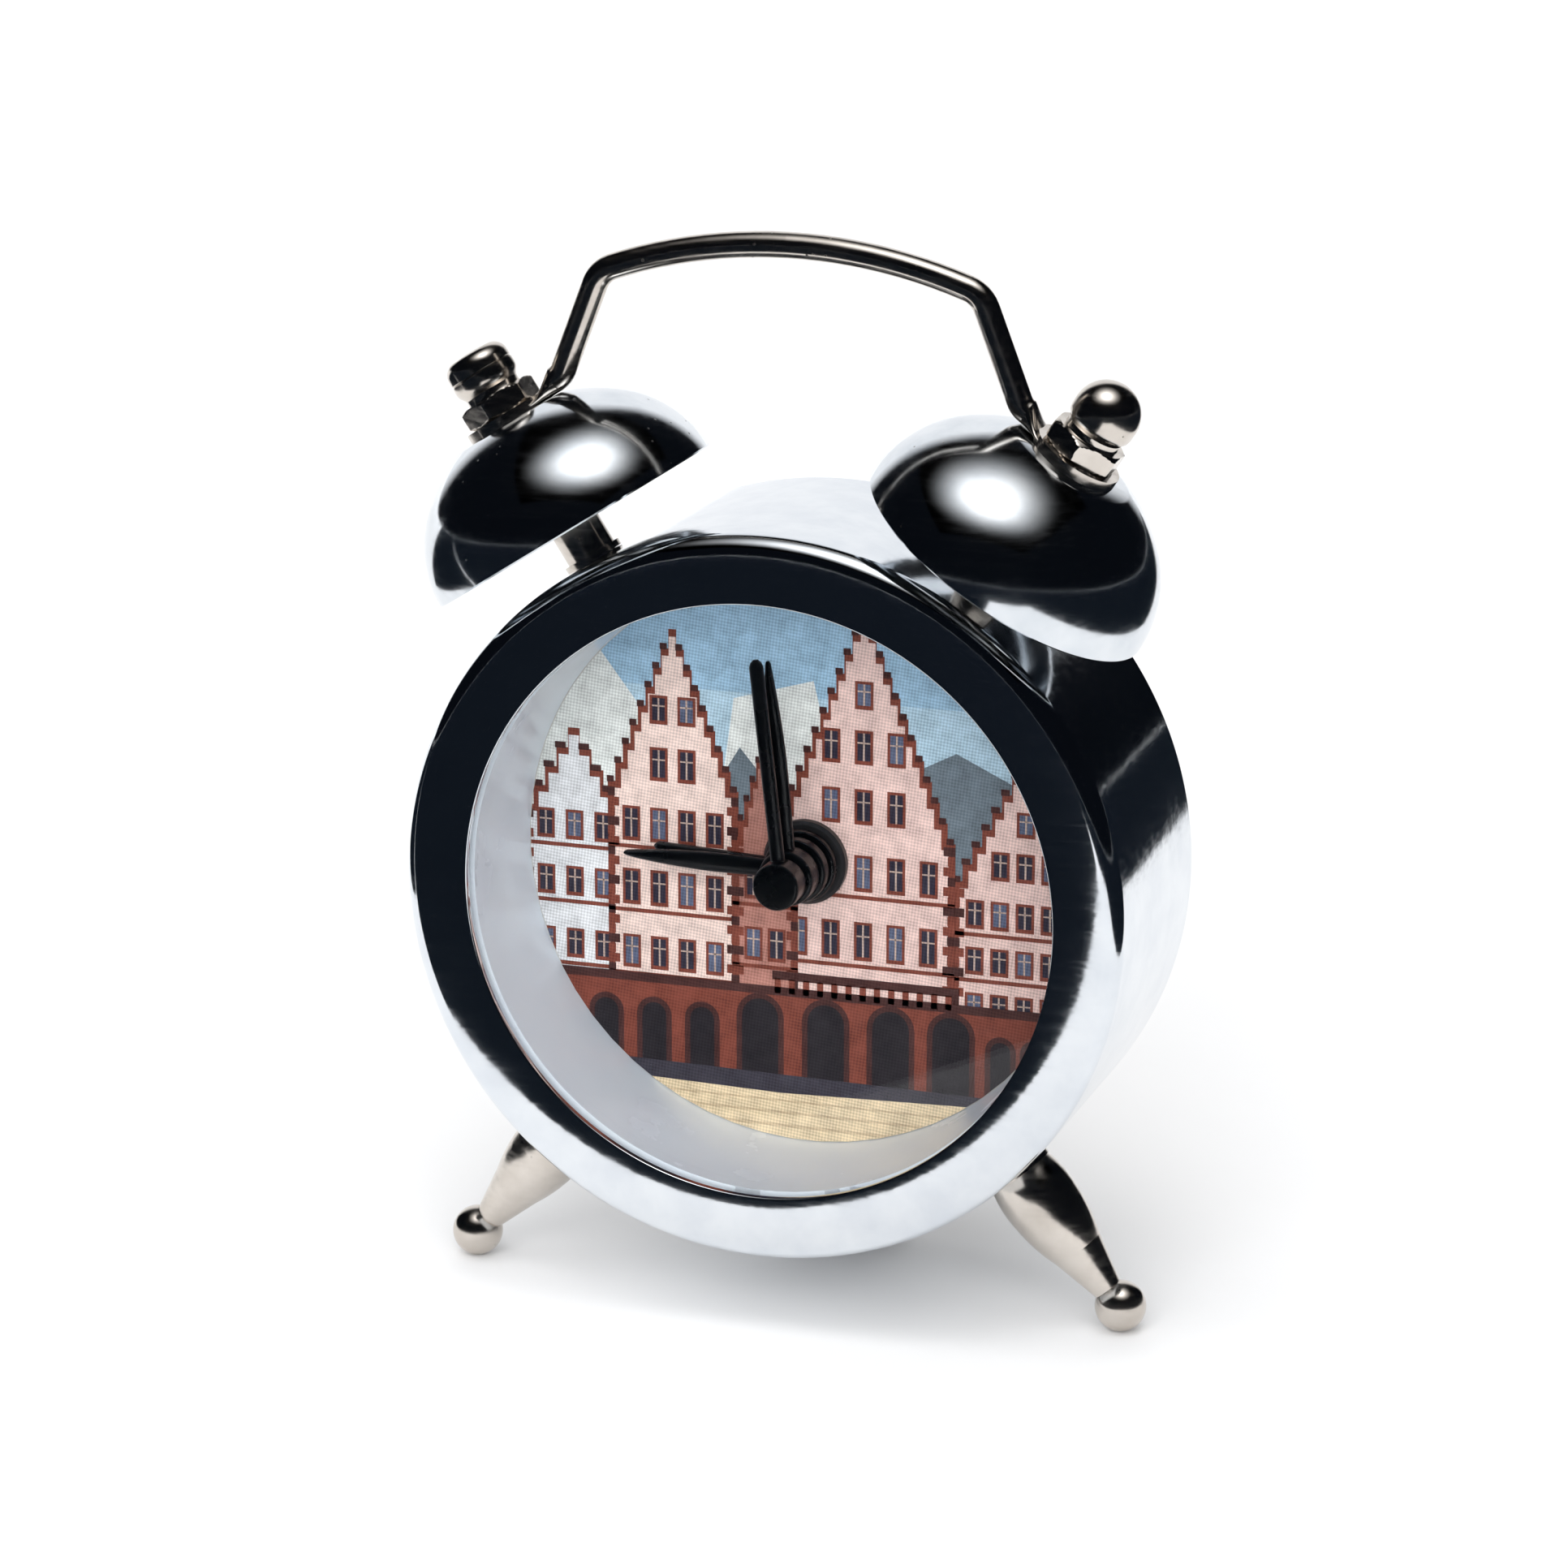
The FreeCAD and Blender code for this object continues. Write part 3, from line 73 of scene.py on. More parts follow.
class Nodes:
    """Short ways to add nodes to a material and link them."""

    def __init__(self, material):
        self.tree = material.node_tree
        self.place = self.add("ShaderNodeTexCoord").outputs["Object"]

    def add(self, kind, **settings):
        made = self.tree.nodes.new(kind)
        for key, setting in settings.items():
            setattr(made, key, setting)
        return made

    def feed(self, socket, source):
        if hasattr(source, "is_output"):
            self.tree.links.new(source, socket)
        else:
            socket.default_value = source

    def math(self, operation, first, second=0.0):
        made = self.add("ShaderNodeMath", operation=operation)
        self.feed(made.inputs[0], first)
        self.feed(made.inputs[1], second)
        return made.outputs[0]

    def scaled(self, factors):
        made = self.add("ShaderNodeMapping")
        self.feed(made.inputs["Vector"], self.place)
        made.inputs["Scale"].default_value = factors
        return made.outputs[0]

    def noise(self, scale, detail=3.0, rough=0.5, vector=None):
        made = self.add("ShaderNodeTexNoise")
        self.feed(made.inputs["Vector"], vector or self.place)
        made.inputs["Scale"].default_value = scale
        made.inputs["Detail"].default_value = detail
        made.inputs["Roughness"].default_value = rough
        return made.outputs["Fac"]

    def cells(self, scale):
        made = self.add("ShaderNodeTexVoronoi")
        self.feed(made.inputs["Vector"], self.place)
        made.inputs["Scale"].default_value = scale
        return made.outputs["Distance"]

    def spread(self, source, low, high, to_low=0.0, to_high=1.0):
        made = self.add("ShaderNodeMapRange", clamp=True)
        self.feed(made.inputs["Value"], source)
        for socket, number in zip(("From Min", "From Max", "To Min", "To Max"),
                                  (low, high, to_low, to_high)):
            made.inputs[socket].default_value = number
        return made.outputs["Result"]

    def blend(self, share, first, second):
        made = self.add("ShaderNodeMix", data_type="RGBA")
        for socket, source in zip(COLOUR_MIX_SOCKETS, (share, first, second)):
            self.feed(made.inputs[socket], source)
        return made.outputs[COLOUR_MIX_RESULT]

    def bump(self, height, strength, distance, under=None):
        made = self.add("ShaderNodeBump")
        made.inputs["Strength"].default_value = strength
        made.inputs["Distance"].default_value = distance
        self.feed(made.inputs["Height"], height)
        if under is not None:
            self.feed(made.inputs["Normal"], under)
        return made.outputs["Normal"]


def shade(red, green, blue):
    """Linear colour of an sRGB one given from 0 to 255."""
    def linear(number):
        share = number / 255
        return share / 12.92 if share <= 0.04045 else ((share + 0.055) / 1.055) ** 2.4
    return (linear(red), linear(green), linear(blue), 1.0)


def plated_metal(name, colour, worn, rough, ripple, speck_share):
    """Plated sheet metal: an orange-peel ripple, polishing streaks, specks and handling haze."""
    material, shader = new_material(name)
    nodes = Nodes(material)
    haze = nodes.noise(240.0, 4.0, 0.6)
    streaks = nodes.noise(900.0, 2.0, 0.5, nodes.scaled((0.25, 1.0, 3.0)))
    specks = nodes.spread(nodes.cells(900.0), 0.10, 0.06)
    chosen = nodes.spread(nodes.noise(170.0, 1.0), 1.0 - speck_share, 1.02 - speck_share)
    marks = nodes.math("MULTIPLY", specks, chosen)
    tint = nodes.blend(nodes.spread(haze, 0.35, 0.7), colour, worn)
    nodes.feed(shader.inputs["Base Color"], nodes.blend(marks, tint, shade(120, 116, 110)))
    shader.inputs["Metallic"].default_value = 1.0
    base = nodes.spread(haze, 0.3, 0.75, rough * 0.8, rough * 1.35)
    fine = nodes.math("ADD", base, nodes.spread(streaks, 0.45, 0.7, 0.0, rough * 0.5))
    nodes.feed(shader.inputs["Roughness"], nodes.math("ADD", fine, nodes.math(
        "MULTIPLY", marks, 0.3)))
    peel = nodes.bump(nodes.noise(520.0, 2.0, 0.5), ripple, 0.02 * MM)
    grain = nodes.bump(streaks, ripple * 0.4, 0.01 * MM, peel)
    nodes.feed(shader.inputs["Normal"], nodes.bump(marks, 0.3, 0.02 * MM, grain))
    return material


def moulded_plastic(name, colour, other, rough, grain_scale, grain_depth, gloss=0.5):
    material, shader = new_material(name)
    nodes = Nodes(material)
    cloud = nodes.noise(180.0, 4.0, 0.55)
    nodes.feed(shader.inputs["Base Color"], nodes.blend(nodes.spread(cloud, 0.35, 0.7),
                                                        colour, other))
    nodes.feed(shader.inputs["Roughness"], nodes.spread(cloud, 0.3, 0.7, rough * 0.85,
                                                        rough * 1.2))
    shader.inputs["Specular IOR Level"].default_value = gloss
    grain = nodes.noise(grain_scale, 2.0, 0.6)
    nodes.feed(shader.inputs["Normal"], nodes.bump(grain, 0.5, grain_depth))
    return material


def clear_plastic():
    """Thin clear sheet: light passes straight through it, and a little is mirrored."""
    material = bpy.data.materials.new("clear_lens")
    material.use_nodes = True
    tree = material.node_tree
    tree.nodes.clear()
    nodes = Nodes(material)
    output = nodes.add("ShaderNodeOutputMaterial")
    through, mirror = nodes.add("ShaderNodeBsdfTransparent"), nodes.add("ShaderNodeBsdfGlossy")
    through.inputs["Color"].default_value = (0.985, 0.992, 1.0, 1.0)
    smear = nodes.noise(120.0, 4.0, 0.6, nodes.scaled((1.0, 1.0, 0.4)))
    nodes.feed(mirror.inputs["Roughness"], nodes.spread(smear, 0.5, 0.75, 0.01, 0.06))
    share = nodes.add("ShaderNodeFresnel")
    share.inputs["IOR"].default_value = 1.3
    mix = nodes.add("ShaderNodeMixShader")
    nodes.feed(mix.inputs[0], share.outputs[0])
    tree.links.new(through.outputs[0], mix.inputs[1])
    tree.links.new(mirror.outputs[0], mix.inputs[2])
    tree.links.new(mix.outputs[0], output.inputs["Surface"])
    return material


chrome = plated_metal("bright_chrome", shade(226, 230, 234), shade(214, 219, 225),
                      rough=0.07, ripple=0.35, speck_share=0.30)
bell_chrome = plated_metal("bell_chrome", shade(224, 228, 232), shade(208, 214, 220),
                           rough=0.10, ripple=0.2, speck_share=0.42)
nickel = plated_metal("warm_nickel", shade(216, 209, 201), shade(196, 188, 179),
                      rough=0.16, ripple=0.5, speck_share=0.5)
steel = plated_metal("zinc_steel", shade(196, 198, 200), shade(178, 180, 184),
                     rough=0.28, ripple=0.6, speck_share=0.4)
copper = plated_metal("copper_wire", shade(200, 120, 74), shade(180, 98, 58),
                      rough=0.25, ripple=0.6, speck_share=0.2)
black_plastic = moulded_plastic("black_plastic", shade(24, 24, 25), shade(33, 33, 34),
                                rough=0.42, grain_scale=2600.0, grain_depth=0.02 * MM)
hand_plastic = moulded_plastic("hand_plastic", shade(2, 3, 4), shade(5, 6, 8), rough=0.27,
                               grain_scale=3600.0, grain_depth=0.035 * MM, gloss=0.45)
white_plastic = moulded_plastic("white_plastic", shade(238, 246, 252), shade(233, 241, 249),
                                rough=0.24, grain_scale=500.0, grain_depth=0.003 * MM)
gear_plastic = moulded_plastic("acetal", shade(226, 225, 214), shade(216, 214, 202),
                               rough=0.4, grain_scale=900.0, grain_depth=0.01 * MM)
magnet = moulded_plastic("bonded_magnet", shade(66, 66, 68), shade(52, 52, 54),
                         rough=0.5, grain_scale=2400.0, grain_depth=0.03 * MM)
board = moulded_plastic("board", shade(150, 108, 62), shade(132, 92, 50),
                        rough=0.45, grain_scale=1500.0, grain_depth=0.02 * MM)
card = moulded_plastic("dial_card", shade(190, 186, 178), shade(182, 178, 170),
                       rough=0.5, grain_scale=900.0, grain_depth=0.005 * MM)

FINISH = {"chrome": chrome, "nickel": nickel, "steel": steel, "clear_plastic": clear_plastic(),
          "white_plastic": white_plastic, "printed_card": card, "black_plastic": black_plastic,
          "gear_plastic": gear_plastic, "magnet": magnet, "copper": copper, "board": board}
for part in frame["record"]["subparts"]:
    materials = frame["nodes"][part["node"]].data.materials
    materials.clear()
    materials.append(FINISH[part["material_slot"]])


# ---------------------------------------------------------------- turned pieces

# Drawn in millimetres: radii about the case axis or the bell post, and depths behind the bezel.
CASE_RADIUS = (CASE_HIGH[0] - CASE_LOW[0]) / 2 / MM
CASE_DEPTH = (CASE_HIGH[1] - CASE_LOW[1]) / MM
POST_Y = (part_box("bell_left")[0][1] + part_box("bell_left")[1][1]) / 2
BELL_ANGLE = math.radians(33.05)
EDGE_BREAK = 0.12  # bevel on a cut sheet edge
HEXAGON = None  # stands for the radius where a turned profile is six-sided


def arc(middle, radius, start, end, steps=12):
    """Points of an arc between two angles in degrees, counted from the radial direction."""
    angles = [math.radians(start + (end - start) * step / steps) for step in range(steps + 1)]
    return [(middle[0] + radius * math.cos(a), middle[1] + radius * math.sin(a)) for a in angles]


def set_creases(mesh, limit):
    """Smooth shading with sharp edges wherever the surface turns by more than the limit."""
    worked = bmesh.new()
    worked.from_mesh(mesh)
    bmesh.ops.remove_doubles(worked, verts=worked.verts, dist=1e-7)
    bmesh.ops.recalc_face_normals(worked, faces=worked.faces)
    for face in worked.faces:
        face.smooth = True
    for edge in worked.edges:
        edge.smooth = edge.calc_face_angle(0.0) < math.radians(limit)
    worked.to_mesh(mesh)
    worked.free()


def add_piece(name, verts, faces, finish, limit=30):
    mesh = bpy.data.meshes.new(name)
    mesh.from_pydata([tuple(part * MM for part in point) for point in verts], [], faces)
    mesh.materials.append(finish)
    set_creases(mesh, limit)
    piece = bpy.data.objects.new(name, mesh)
    bpy.context.collection.objects.link(piece)
    return piece


def lathe_mesh(profile, sides, closed=False, hex_radius=None):
    """Verts and faces of a turned form about +Z: profile points are (radius, height) in mm."""
    verts, faces = [], []
    for radius, height in profile:
        for side in range(sides):
            angle = 2 * math.pi * side / sides
            reach = hex_radius(height, angle) if radius is HEXAGON else radius
            verts.append((reach * math.cos(angle), reach * math.sin(angle), height))
    count = len(profile)
    for row in range(count if closed else count - 1):
        low, high = row * sides, ((row + 1) % count) * sides
        faces += [[low + i, low + (i + 1) % sides, high + (i + 1) % sides, high + i]
                  for i in range(sides)]
    if not closed:
        faces += [list(range(sides))[::-1], list(range((count - 1) * sides, count * sides))]
    return verts, faces


def stand_on_radius(piece, side):
    """Turns a piece drawn about +Z onto the bell post of that side, from the case axis."""
    post = Matrix.Translation((0.0, POST_Y, AXIS_Z))
    piece.data.transform(post @ Matrix.Rotation(side * BELL_ANGLE, 4, "Y"))


def face_forward(piece):
    """Turns a piece drawn about +Z so that its height becomes depth behind the bezel."""
    piece.data.transform(Matrix.Translation((0.0, BEZEL_Y, AXIS_Z))
                         @ Matrix.Rotation(math.radians(-90), 4, "X"))


def make_case():
    """Drawn can with crowned bezel, as one smooth sheet."""
    opening, wall, corner, lip, lens_seat = 23.3, 0.5, 1.3, 0.13, 0.62
    crown, drop = 16.0, 0.12
    middle = (opening + CASE_RADIUS - corner) / 2
    tilt = math.degrees(math.asin((CASE_RADIUS - corner - middle) / crown))
    crown_start = -90 - tilt * 0.93
    bend = corner / (1 - math.sin(math.radians(tilt)))
    bend_middle = (CASE_RADIUS - bend, drop + bend * math.cos(math.radians(tilt)))
    front = arc((middle, crown + 0.001), crown, crown_start, -90 + tilt, 24)
    edge = arc((opening + lip, front[0][1] + lip), lip, 180, 360 + crown_start, 6)
    corner_arc = arc(bend_middle, bend, -90 + tilt, 0, 24)
    back = [(CASE_RADIUS, CASE_DEPTH - EDGE_BREAK), (CASE_RADIUS - EDGE_BREAK, CASE_DEPTH),
            (CASE_RADIUS - wall + 0.1, CASE_DEPTH), (CASE_RADIUS - wall, CASE_DEPTH - 0.1)]
    inner = arc(bend_middle, bend - wall, 0, -90 + tilt, 12)
    profile = edge + front[1:] + corner_arc[1:] + back + inner + [(opening, lens_seat)]
    piece = add_piece("case_body", *lathe_mesh(profile, 288, closed=True), chrome)
    face_forward(piece)
    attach(piece, "case")
    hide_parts("case_shell")


def make_bell(name, side):
    """Pressed dome of two tangent arcs with a rounded rim."""
    base, height, radius, rise, wall, hole = 31.4, 9.3, 12.0, 10.2, 0.6, 1.55
    side_radius = 9.0
    inset = radius - side_radius
    crown_radius = (rise ** 2 + inset ** 2 - side_radius ** 2) / (2 * (rise - side_radius))
    drop = crown_radius - rise
    join = math.degrees(math.atan2(drop, inset))

    def wall_line(offset):
        reach = crown_radius - offset
        flat = math.degrees(math.asin((height - offset + drop) / reach))
        return (arc((inset, base), side_radius - offset, 0, join, 24)
                + arc((0.0, base - drop), reach, join, flat, 24)[1:])

    rim_out = [(radius - wall + EDGE_BREAK, base), (radius - EDGE_BREAK, base),
               (radius, base + EDGE_BREAK)]
    rim_in = [(radius - wall, base + EDGE_BREAK)]
    top = [(hole, base + height), (hole, base + height - wall)]
    profile = rim_out + wall_line(0.0)[1:] + top + wall_line(wall)[:0:-1] + rim_in
    piece = add_piece(name, *lathe_mesh(profile, 256, closed=True), bell_chrome)
    stand_on_radius(piece, side)
    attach(piece, "case")
    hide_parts("bell_left" if side < 0 else "bell_right")


def hex_reach(flats, low, high):
    """Radius of a chamfered hexagon with slightly rounded corners."""
    def reach(height, angle):
        turned = (math.degrees(angle) + 30) % 60 - 30
        chamfer = flats / 2 + min(height - low, high - height) * 1.5
        rounded_corner = flats / 2 * 1.135
        return min(flats / 2 / math.cos(math.radians(turned)), chamfer, rounded_corner)
    return reach


def make_cap_nuts():
    """Domed nuts; the left one is a shorter, roughly turned one."""
    foot, flats, thick, ball = 41.52, 5.5, 1.7, 2.6
    top = foot + thick
    levels = [0.0, 0.08, 0.16, 0.24, 0.32, thick / 2]
    levels += [thick - level for level in reversed(levels[:-1])]
    body = [(HEXAGON, foot + level) for level in levels]
    neck = [(2.25, top), (2.2, top + 0.15), (2.2, top + 0.5), (2.3, top + 0.7),
            (2.52, top + 1.0), (ball, top + 1.35)]
    round_dome = arc((0.0, top + 1.95), ball, 0, 88, 24)
    groove = [(ball, top + 1.9), (2.5, top + 1.98), (2.59, top + 2.08), (2.58, top + 2.5)]
    flat_end = [(1.2, top + 3.62), (0.5, top + 3.7), (0.05, top + 3.72)]
    worn_dome = groove + arc((1.45, top + 2.5), 1.13, 8, 74, 10) + flat_end
    for name, side, dome in (("cap_nut_right", 1, round_dome), ("cap_nut_left", -1, worn_dome)):
        form = lathe_mesh(body + neck + dome, 120, hex_radius=hex_reach(flats, foot, top))
        piece = add_piece(name, *form, nickel, 24)
        stand_on_radius(piece, side)
        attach(piece, "case")
        if side > 0:
            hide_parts("cap_nuts")


def blade_mesh(stations, height):
    """A moulded blade along +Z, crowned in front: stations are (reach, width, thickness)."""
    section = ((-0.5, 0.0), (-0.5, 0.45), (-0.42, 0.72), (-0.26, 0.93), (0.0, 1.0), (0.26, 0.93),
               (0.42, 0.72), (0.5, 0.45), (0.5, 0.0))
    verts, faces, wide = [], [], len(section)
    for reach, width, thick in stations:
        verts += [(x * width, height - y * thick, reach) for x, y in section]
    for row in range(len(stations) - 1):
        low, high = row * wide, (row + 1) * wide
        faces += [[low + i, low + (i + 1) % wide, high + (i + 1) % wide, high + i]
                  for i in range(wide)]
    last = (len(stations) - 1) * wide
    faces += [list(range(wide)), list(range(last, last + wide))[::-1]]
    return verts, faces


def lance(length):
    """A hand that swells and tapers to a blunt point."""
    shares = ((0.06, 1.35), (0.25, 1.42), (0.42, 1.5), (0.55, 1.48), (0.68, 1.3), (0.82, 0.98),
              (0.93, 0.64), (0.985, 0.44), (1.0, 0.22))
    return [(length * share, width, 0.5 if share < 0.97 else 0.3) for share, width in shares]


def stick(length, width):
    """A straight hand with a rounded end."""
    return [(1.0, width, 0.5), (length * 0.5, width, 0.5), (length - width / 2, width, 0.48),
            (length - width * 0.2, width * 0.75, 0.4), (length, width * 0.3, 0.25)]


# body, degrees clockwise from twelve, blade, depth of the blade's back, and the hub's radius,
# front, back and edge rounding
HANDS = {
    "second_hand": ("second", -6.6, stick(17.6, 1.1), 6.5, (1.85, 4.97, 7.0, 0.3)),
    "minute_hand": ("minute", -5.8, lance(17.0), 8.5, (2.2, 7.44, 9.2, 0.28)),
    "hour_hand": ("hour", 270.7, lance(14.0), 10.1, (2.55, 9.54, 10.6, 0.28)),
    "alarm_hand": ("alarm", 272.5, stick(12.0, 0.75), 11.5, (2.85, 10.99, 11.75, 0.28)),
}


def make_hand(name, body, angle, blade, blade_depth, hub):
    """A crowned blade and a round-edged hub, set at the hand's own angle."""
    radius, front, back, edge = hub
    bevel = 0.08
    verts, faces = blade_mesh(blade, blade_depth)
    crown = [(0.02, front - 0.06), (radius * 0.5, front - 0.035)]
    rim = arc((radius - edge, front + edge), edge, -90, 0, 8)
    foot = [(radius, back - bevel), (radius - bevel, back)]
    hub_verts, hub_faces = lathe_mesh(crown + rim + foot, 96)
    faces += [[index + len(verts) for index in face] for face in hub_faces]
    verts += [(x, z, y) for x, y, z in hub_verts]
    piece = add_piece(f"{name}_moulding", verts, faces, hand_plastic, 40)
    piece.data.transform(Matrix.Translation((0.0, BEZEL_Y, AXIS_Z))
                         @ Matrix.Rotation(math.radians(angle), 4, "Y"))
    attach(piece, body)
    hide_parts(name)


make_case()
make_bell("bell_dome_left", -1)
make_bell("bell_dome_right", 1)
make_cap_nuts()
for hand, settings in HANDS.items():
    make_hand(hand, *settings)


# ---------------------------------------------------------------- dial picture

# A townscape of the builder's own: plain old-town houses in a row, with no lettering. Its sizes
# are in millimetres from the middle of the dial, and each layer of ink is a little higher.
PICTURE_RADIUS = 22.9
INK_STEP = 0.005
SCREEN_STEP, SCREEN_ANGLE = 0.36, 38  # halftone screen
INKS = {
    "sky_high": shade(152, 186, 208), "sky_mid": shade(174, 201, 215),
    "sky_low": shade(200, 216, 220), "haze": shade(222, 224, 218), "slate": shade(104, 116, 124),
    "pale_wall": shade(222, 222, 222), "rose_wall": shade(224, 192, 182),
    "warm_wall": shade(232, 206, 194), "dusk_wall": shade(178, 122, 108),
    "stone": shade(122, 58, 42), "dark_stone": shade(66, 32, 28), "pane": shade(40, 36, 52),
    "lit_pane": shade(84, 92, 116), "bar": shade(184, 160, 146), "doorway": shade(26, 20, 26),
    "shadow": shade(54, 50, 60), "square": shade(228, 206, 168), "paving": shade(206, 182, 146),
}


def ink_material(name, colour):
    """Printed ink: a halftone screen over a slightly uneven tone, under a satin coat."""
    material, shader = new_material(f"ink_{name}")
    nodes = Nodes(material)
    turned = nodes.add("ShaderNodeMapping")
    nodes.feed(turned.inputs["Vector"], nodes.place)
    turned.inputs["Rotation"].default_value = (0.0, math.radians(SCREEN_ANGLE), 0.0)
    axes = nodes.add("ShaderNodeSeparateXYZ")
    nodes.feed(axes.inputs[0], turned.outputs[0])
    pitch = 2 * math.pi / (SCREEN_STEP * MM)
    waves = [nodes.math("SINE", nodes.math("MULTIPLY", axes.outputs[axis], pitch))
             for axis in ("X", "Z")]
    dots = nodes.spread(nodes.math("MULTIPLY", *waves), -0.5, 0.5)
    dark = tuple(0.5 * part for part in colour[:3]) + (1.0,)
    light = tuple(min(1.0, 1.2 * part + 0.012) for part in colour[:3]) + (1.0,)
    tone = nodes.blend(nodes.spread(nodes.noise(700.0, 5.0, 0.65), 0.3, 0.7), dark, light)
    screened = nodes.blend(dots, nodes.blend(0.45, tone, dark), nodes.blend(0.5, tone, light))
    nodes.feed(shader.inputs["Base Color"], screened)
    shader.inputs["Roughness"].default_value = 0.38
    shader.inputs["Specular IOR Level"].default_value = 0.35
    return material


class Picture:
    """Collects outlines with an ink and a layer, and makes one mesh of thin prisms of them."""

    def __init__(self):
        self.shapes = []

    def add(self, outline, ink, layer):
        inside = clip_to_circle(outline, PICTURE_RADIUS)
        if len(inside) > 2:
            self.shapes.append((inside, ink, layer))

    def box(self, left, low, right, high, ink, layer):
        self.add([(left, low), (right, low), (right, high), (left, high)], ink, layer)

    def build(self, name):
        mesh = bpy.data.meshes.new(name)
        order = list(INKS)
        for ink in order:
            mesh.materials.append(ink_material(ink, INKS[ink]))
        verts, faces, inks = [], [], []
        for outline, ink, layer in self.shapes:
            count, first = len(outline), len(verts)
            for depth in (0.0, layer * INK_STEP * MM):
                verts += [(x * MM, DIAL_Y - depth, AXIS_Z + z * MM) for x, z in outline]
            back = list(range(first, first + count))
            front = list(range(first + count, first + 2 * count))
            faces += [back[::-1], front]
            faces += [[back[i], back[(i + 1) % count], front[(i + 1) % count], front[i]]
                      for i in range(count)]
            inks += [order.index(ink)] * (count + 2)
        mesh.from_pydata(verts, [], faces)
        mesh.polygons.foreach_set("material_index", inks)
        mesh.update()
        piece = bpy.data.objects.new(name, mesh)
        bpy.context.collection.objects.link(piece)
        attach(piece, "case")


def clip_to_circle(outline, radius, sides=60):
    """The part of an outline inside a many-sided round window."""
    if all(math.hypot(x, z) < radius * 0.998 for x, z in outline):
        return outline
    for side in range(sides):
        angle = 2 * math.pi * side / sides
        nx, nz, reach = math.cos(angle), math.sin(angle), radius * math.cos(math.pi / sides)
        kept = []
        for (ax, az), (bx, bz) in zip(outline, outline[1:] + outline[:1]):
            a_out, b_out = ax * nx + az * nz - reach, bx * nx + bz * nz - reach
            if a_out <= 0:
                kept.append((ax, az))
            if (a_out < 0 < b_out) or (b_out < 0 < a_out):
                share = a_out / (a_out - b_out)
                kept.append((ax + (bx - ax) * share, az + (bz - az) * share))
        outline = kept
        if not outline:
            break
    return outline


def stepped_gable(middle, half, eaves, peak, steps, base):
    """Outline of a house front whose gable rises in steps to a narrow top."""
    rise, run = (peak - eaves) / steps, half / (steps + 0.5)
    left = [(middle - half, base), (middle - half, eaves)]
    for step in range(steps):
        x, height = middle - half + (step + 1) * run, eaves + step * rise
        left += [(x, height), (x, height + rise)]
    return left + [(2 * middle - x, z) for x, z in reversed(left)]


def window(picture, x, z, wide, high, layer, ink):
    """Stone surround, panes and glazing bars."""
    left, right, frame_wide, sill, transom = x - wide / 2, x + wide / 2, 0.22, 0.32, z + high * 0.62
    picture.box(left - frame_wide, z - sill, right + frame_wide, z + high + frame_wide, "stone",
                layer)
    picture.box(left, z, right, z + high, ink, layer + 1)
    picture.box(x - 0.07, z, x + 0.07, z + high, "bar", layer + 2)
    picture.box(left, transom, right, transom + 0.12, "bar", layer + 2)


def archway(picture, x, base, wide, high, layer):
    """Round-headed opening with a dark stone edging."""
    for grow, ink, step in ((0.45, "dark_stone", 0), (0.0, "doorway", 1)):
        half, spring = wide / 2 + grow, base + high - wide / 2
        head = [(x + half * math.cos(math.radians(a)), spring + half * math.sin(math.radians(a)))
                for a in range(0, 181, 15)]
        picture.add([(x - half, base), (x + half, base)] + head, ink, layer + step)


def house(picture, middle, half, eaves, peak, steps, wall, rows, columns, layer):
    """A house front with stone-edged stepped gable, quoins, string courses and windows."""
    base, edging, quoin_high, course_gap = -15.4, 0.55, 0.72, 0.8
    picture.add(stepped_gable(middle, half, eaves, peak, steps, base), "stone", layer)
    picture.add(stepped_gable(middle, half - edging, eaves - edging, peak - 0.6, steps, base),
                wall, layer + 1)
    rise, run = (peak - eaves) / steps, half / (steps + 0.5)
    for step in range(steps):
        for side in (-1, 1):
            across = middle + side * (half - (step + 0.5) * run)
            height = eaves + step * rise
            picture.box(across - run * 0.62, height - 0.1, across + run * 0.3, height + 0.42,
                        "dark_stone", layer + 2)
    for quoin in range(math.ceil((eaves - course_gap - base) / course_gap)):
        wide, height = 0.95 if quoin % 2 else 0.6, base + quoin * course_gap
        ink = "stone" if quoin % 3 else "dark_stone"
        for edge, inside in ((middle - half, wide), (middle + half, -wide)):
            picture.box(min(edge, edge + inside), height, max(edge, edge + inside),
                        height + quoin_high, ink, layer + 2)
    for row, (level, high) in enumerate(rows):
        rise_share = max(0.0, (level + high - eaves) / (peak - eaves))
        reach = half * (1 - rise_share) - 0.9
        for index in range(columns):
            x = middle + (index - (columns - 1) / 2) * (2 * half - 1.6) / columns
            if abs(x - middle) < reach - 0.3:
                ink = "lit_pane" if (row + index) % 3 == 0 else "pane"
                window(picture, x, level, 1.05, high, layer + 3, ink)
        if level < eaves:
            picture.box(middle - half, level - 0.95, middle + half, level - 0.62, "stone",
                        layer + 2)


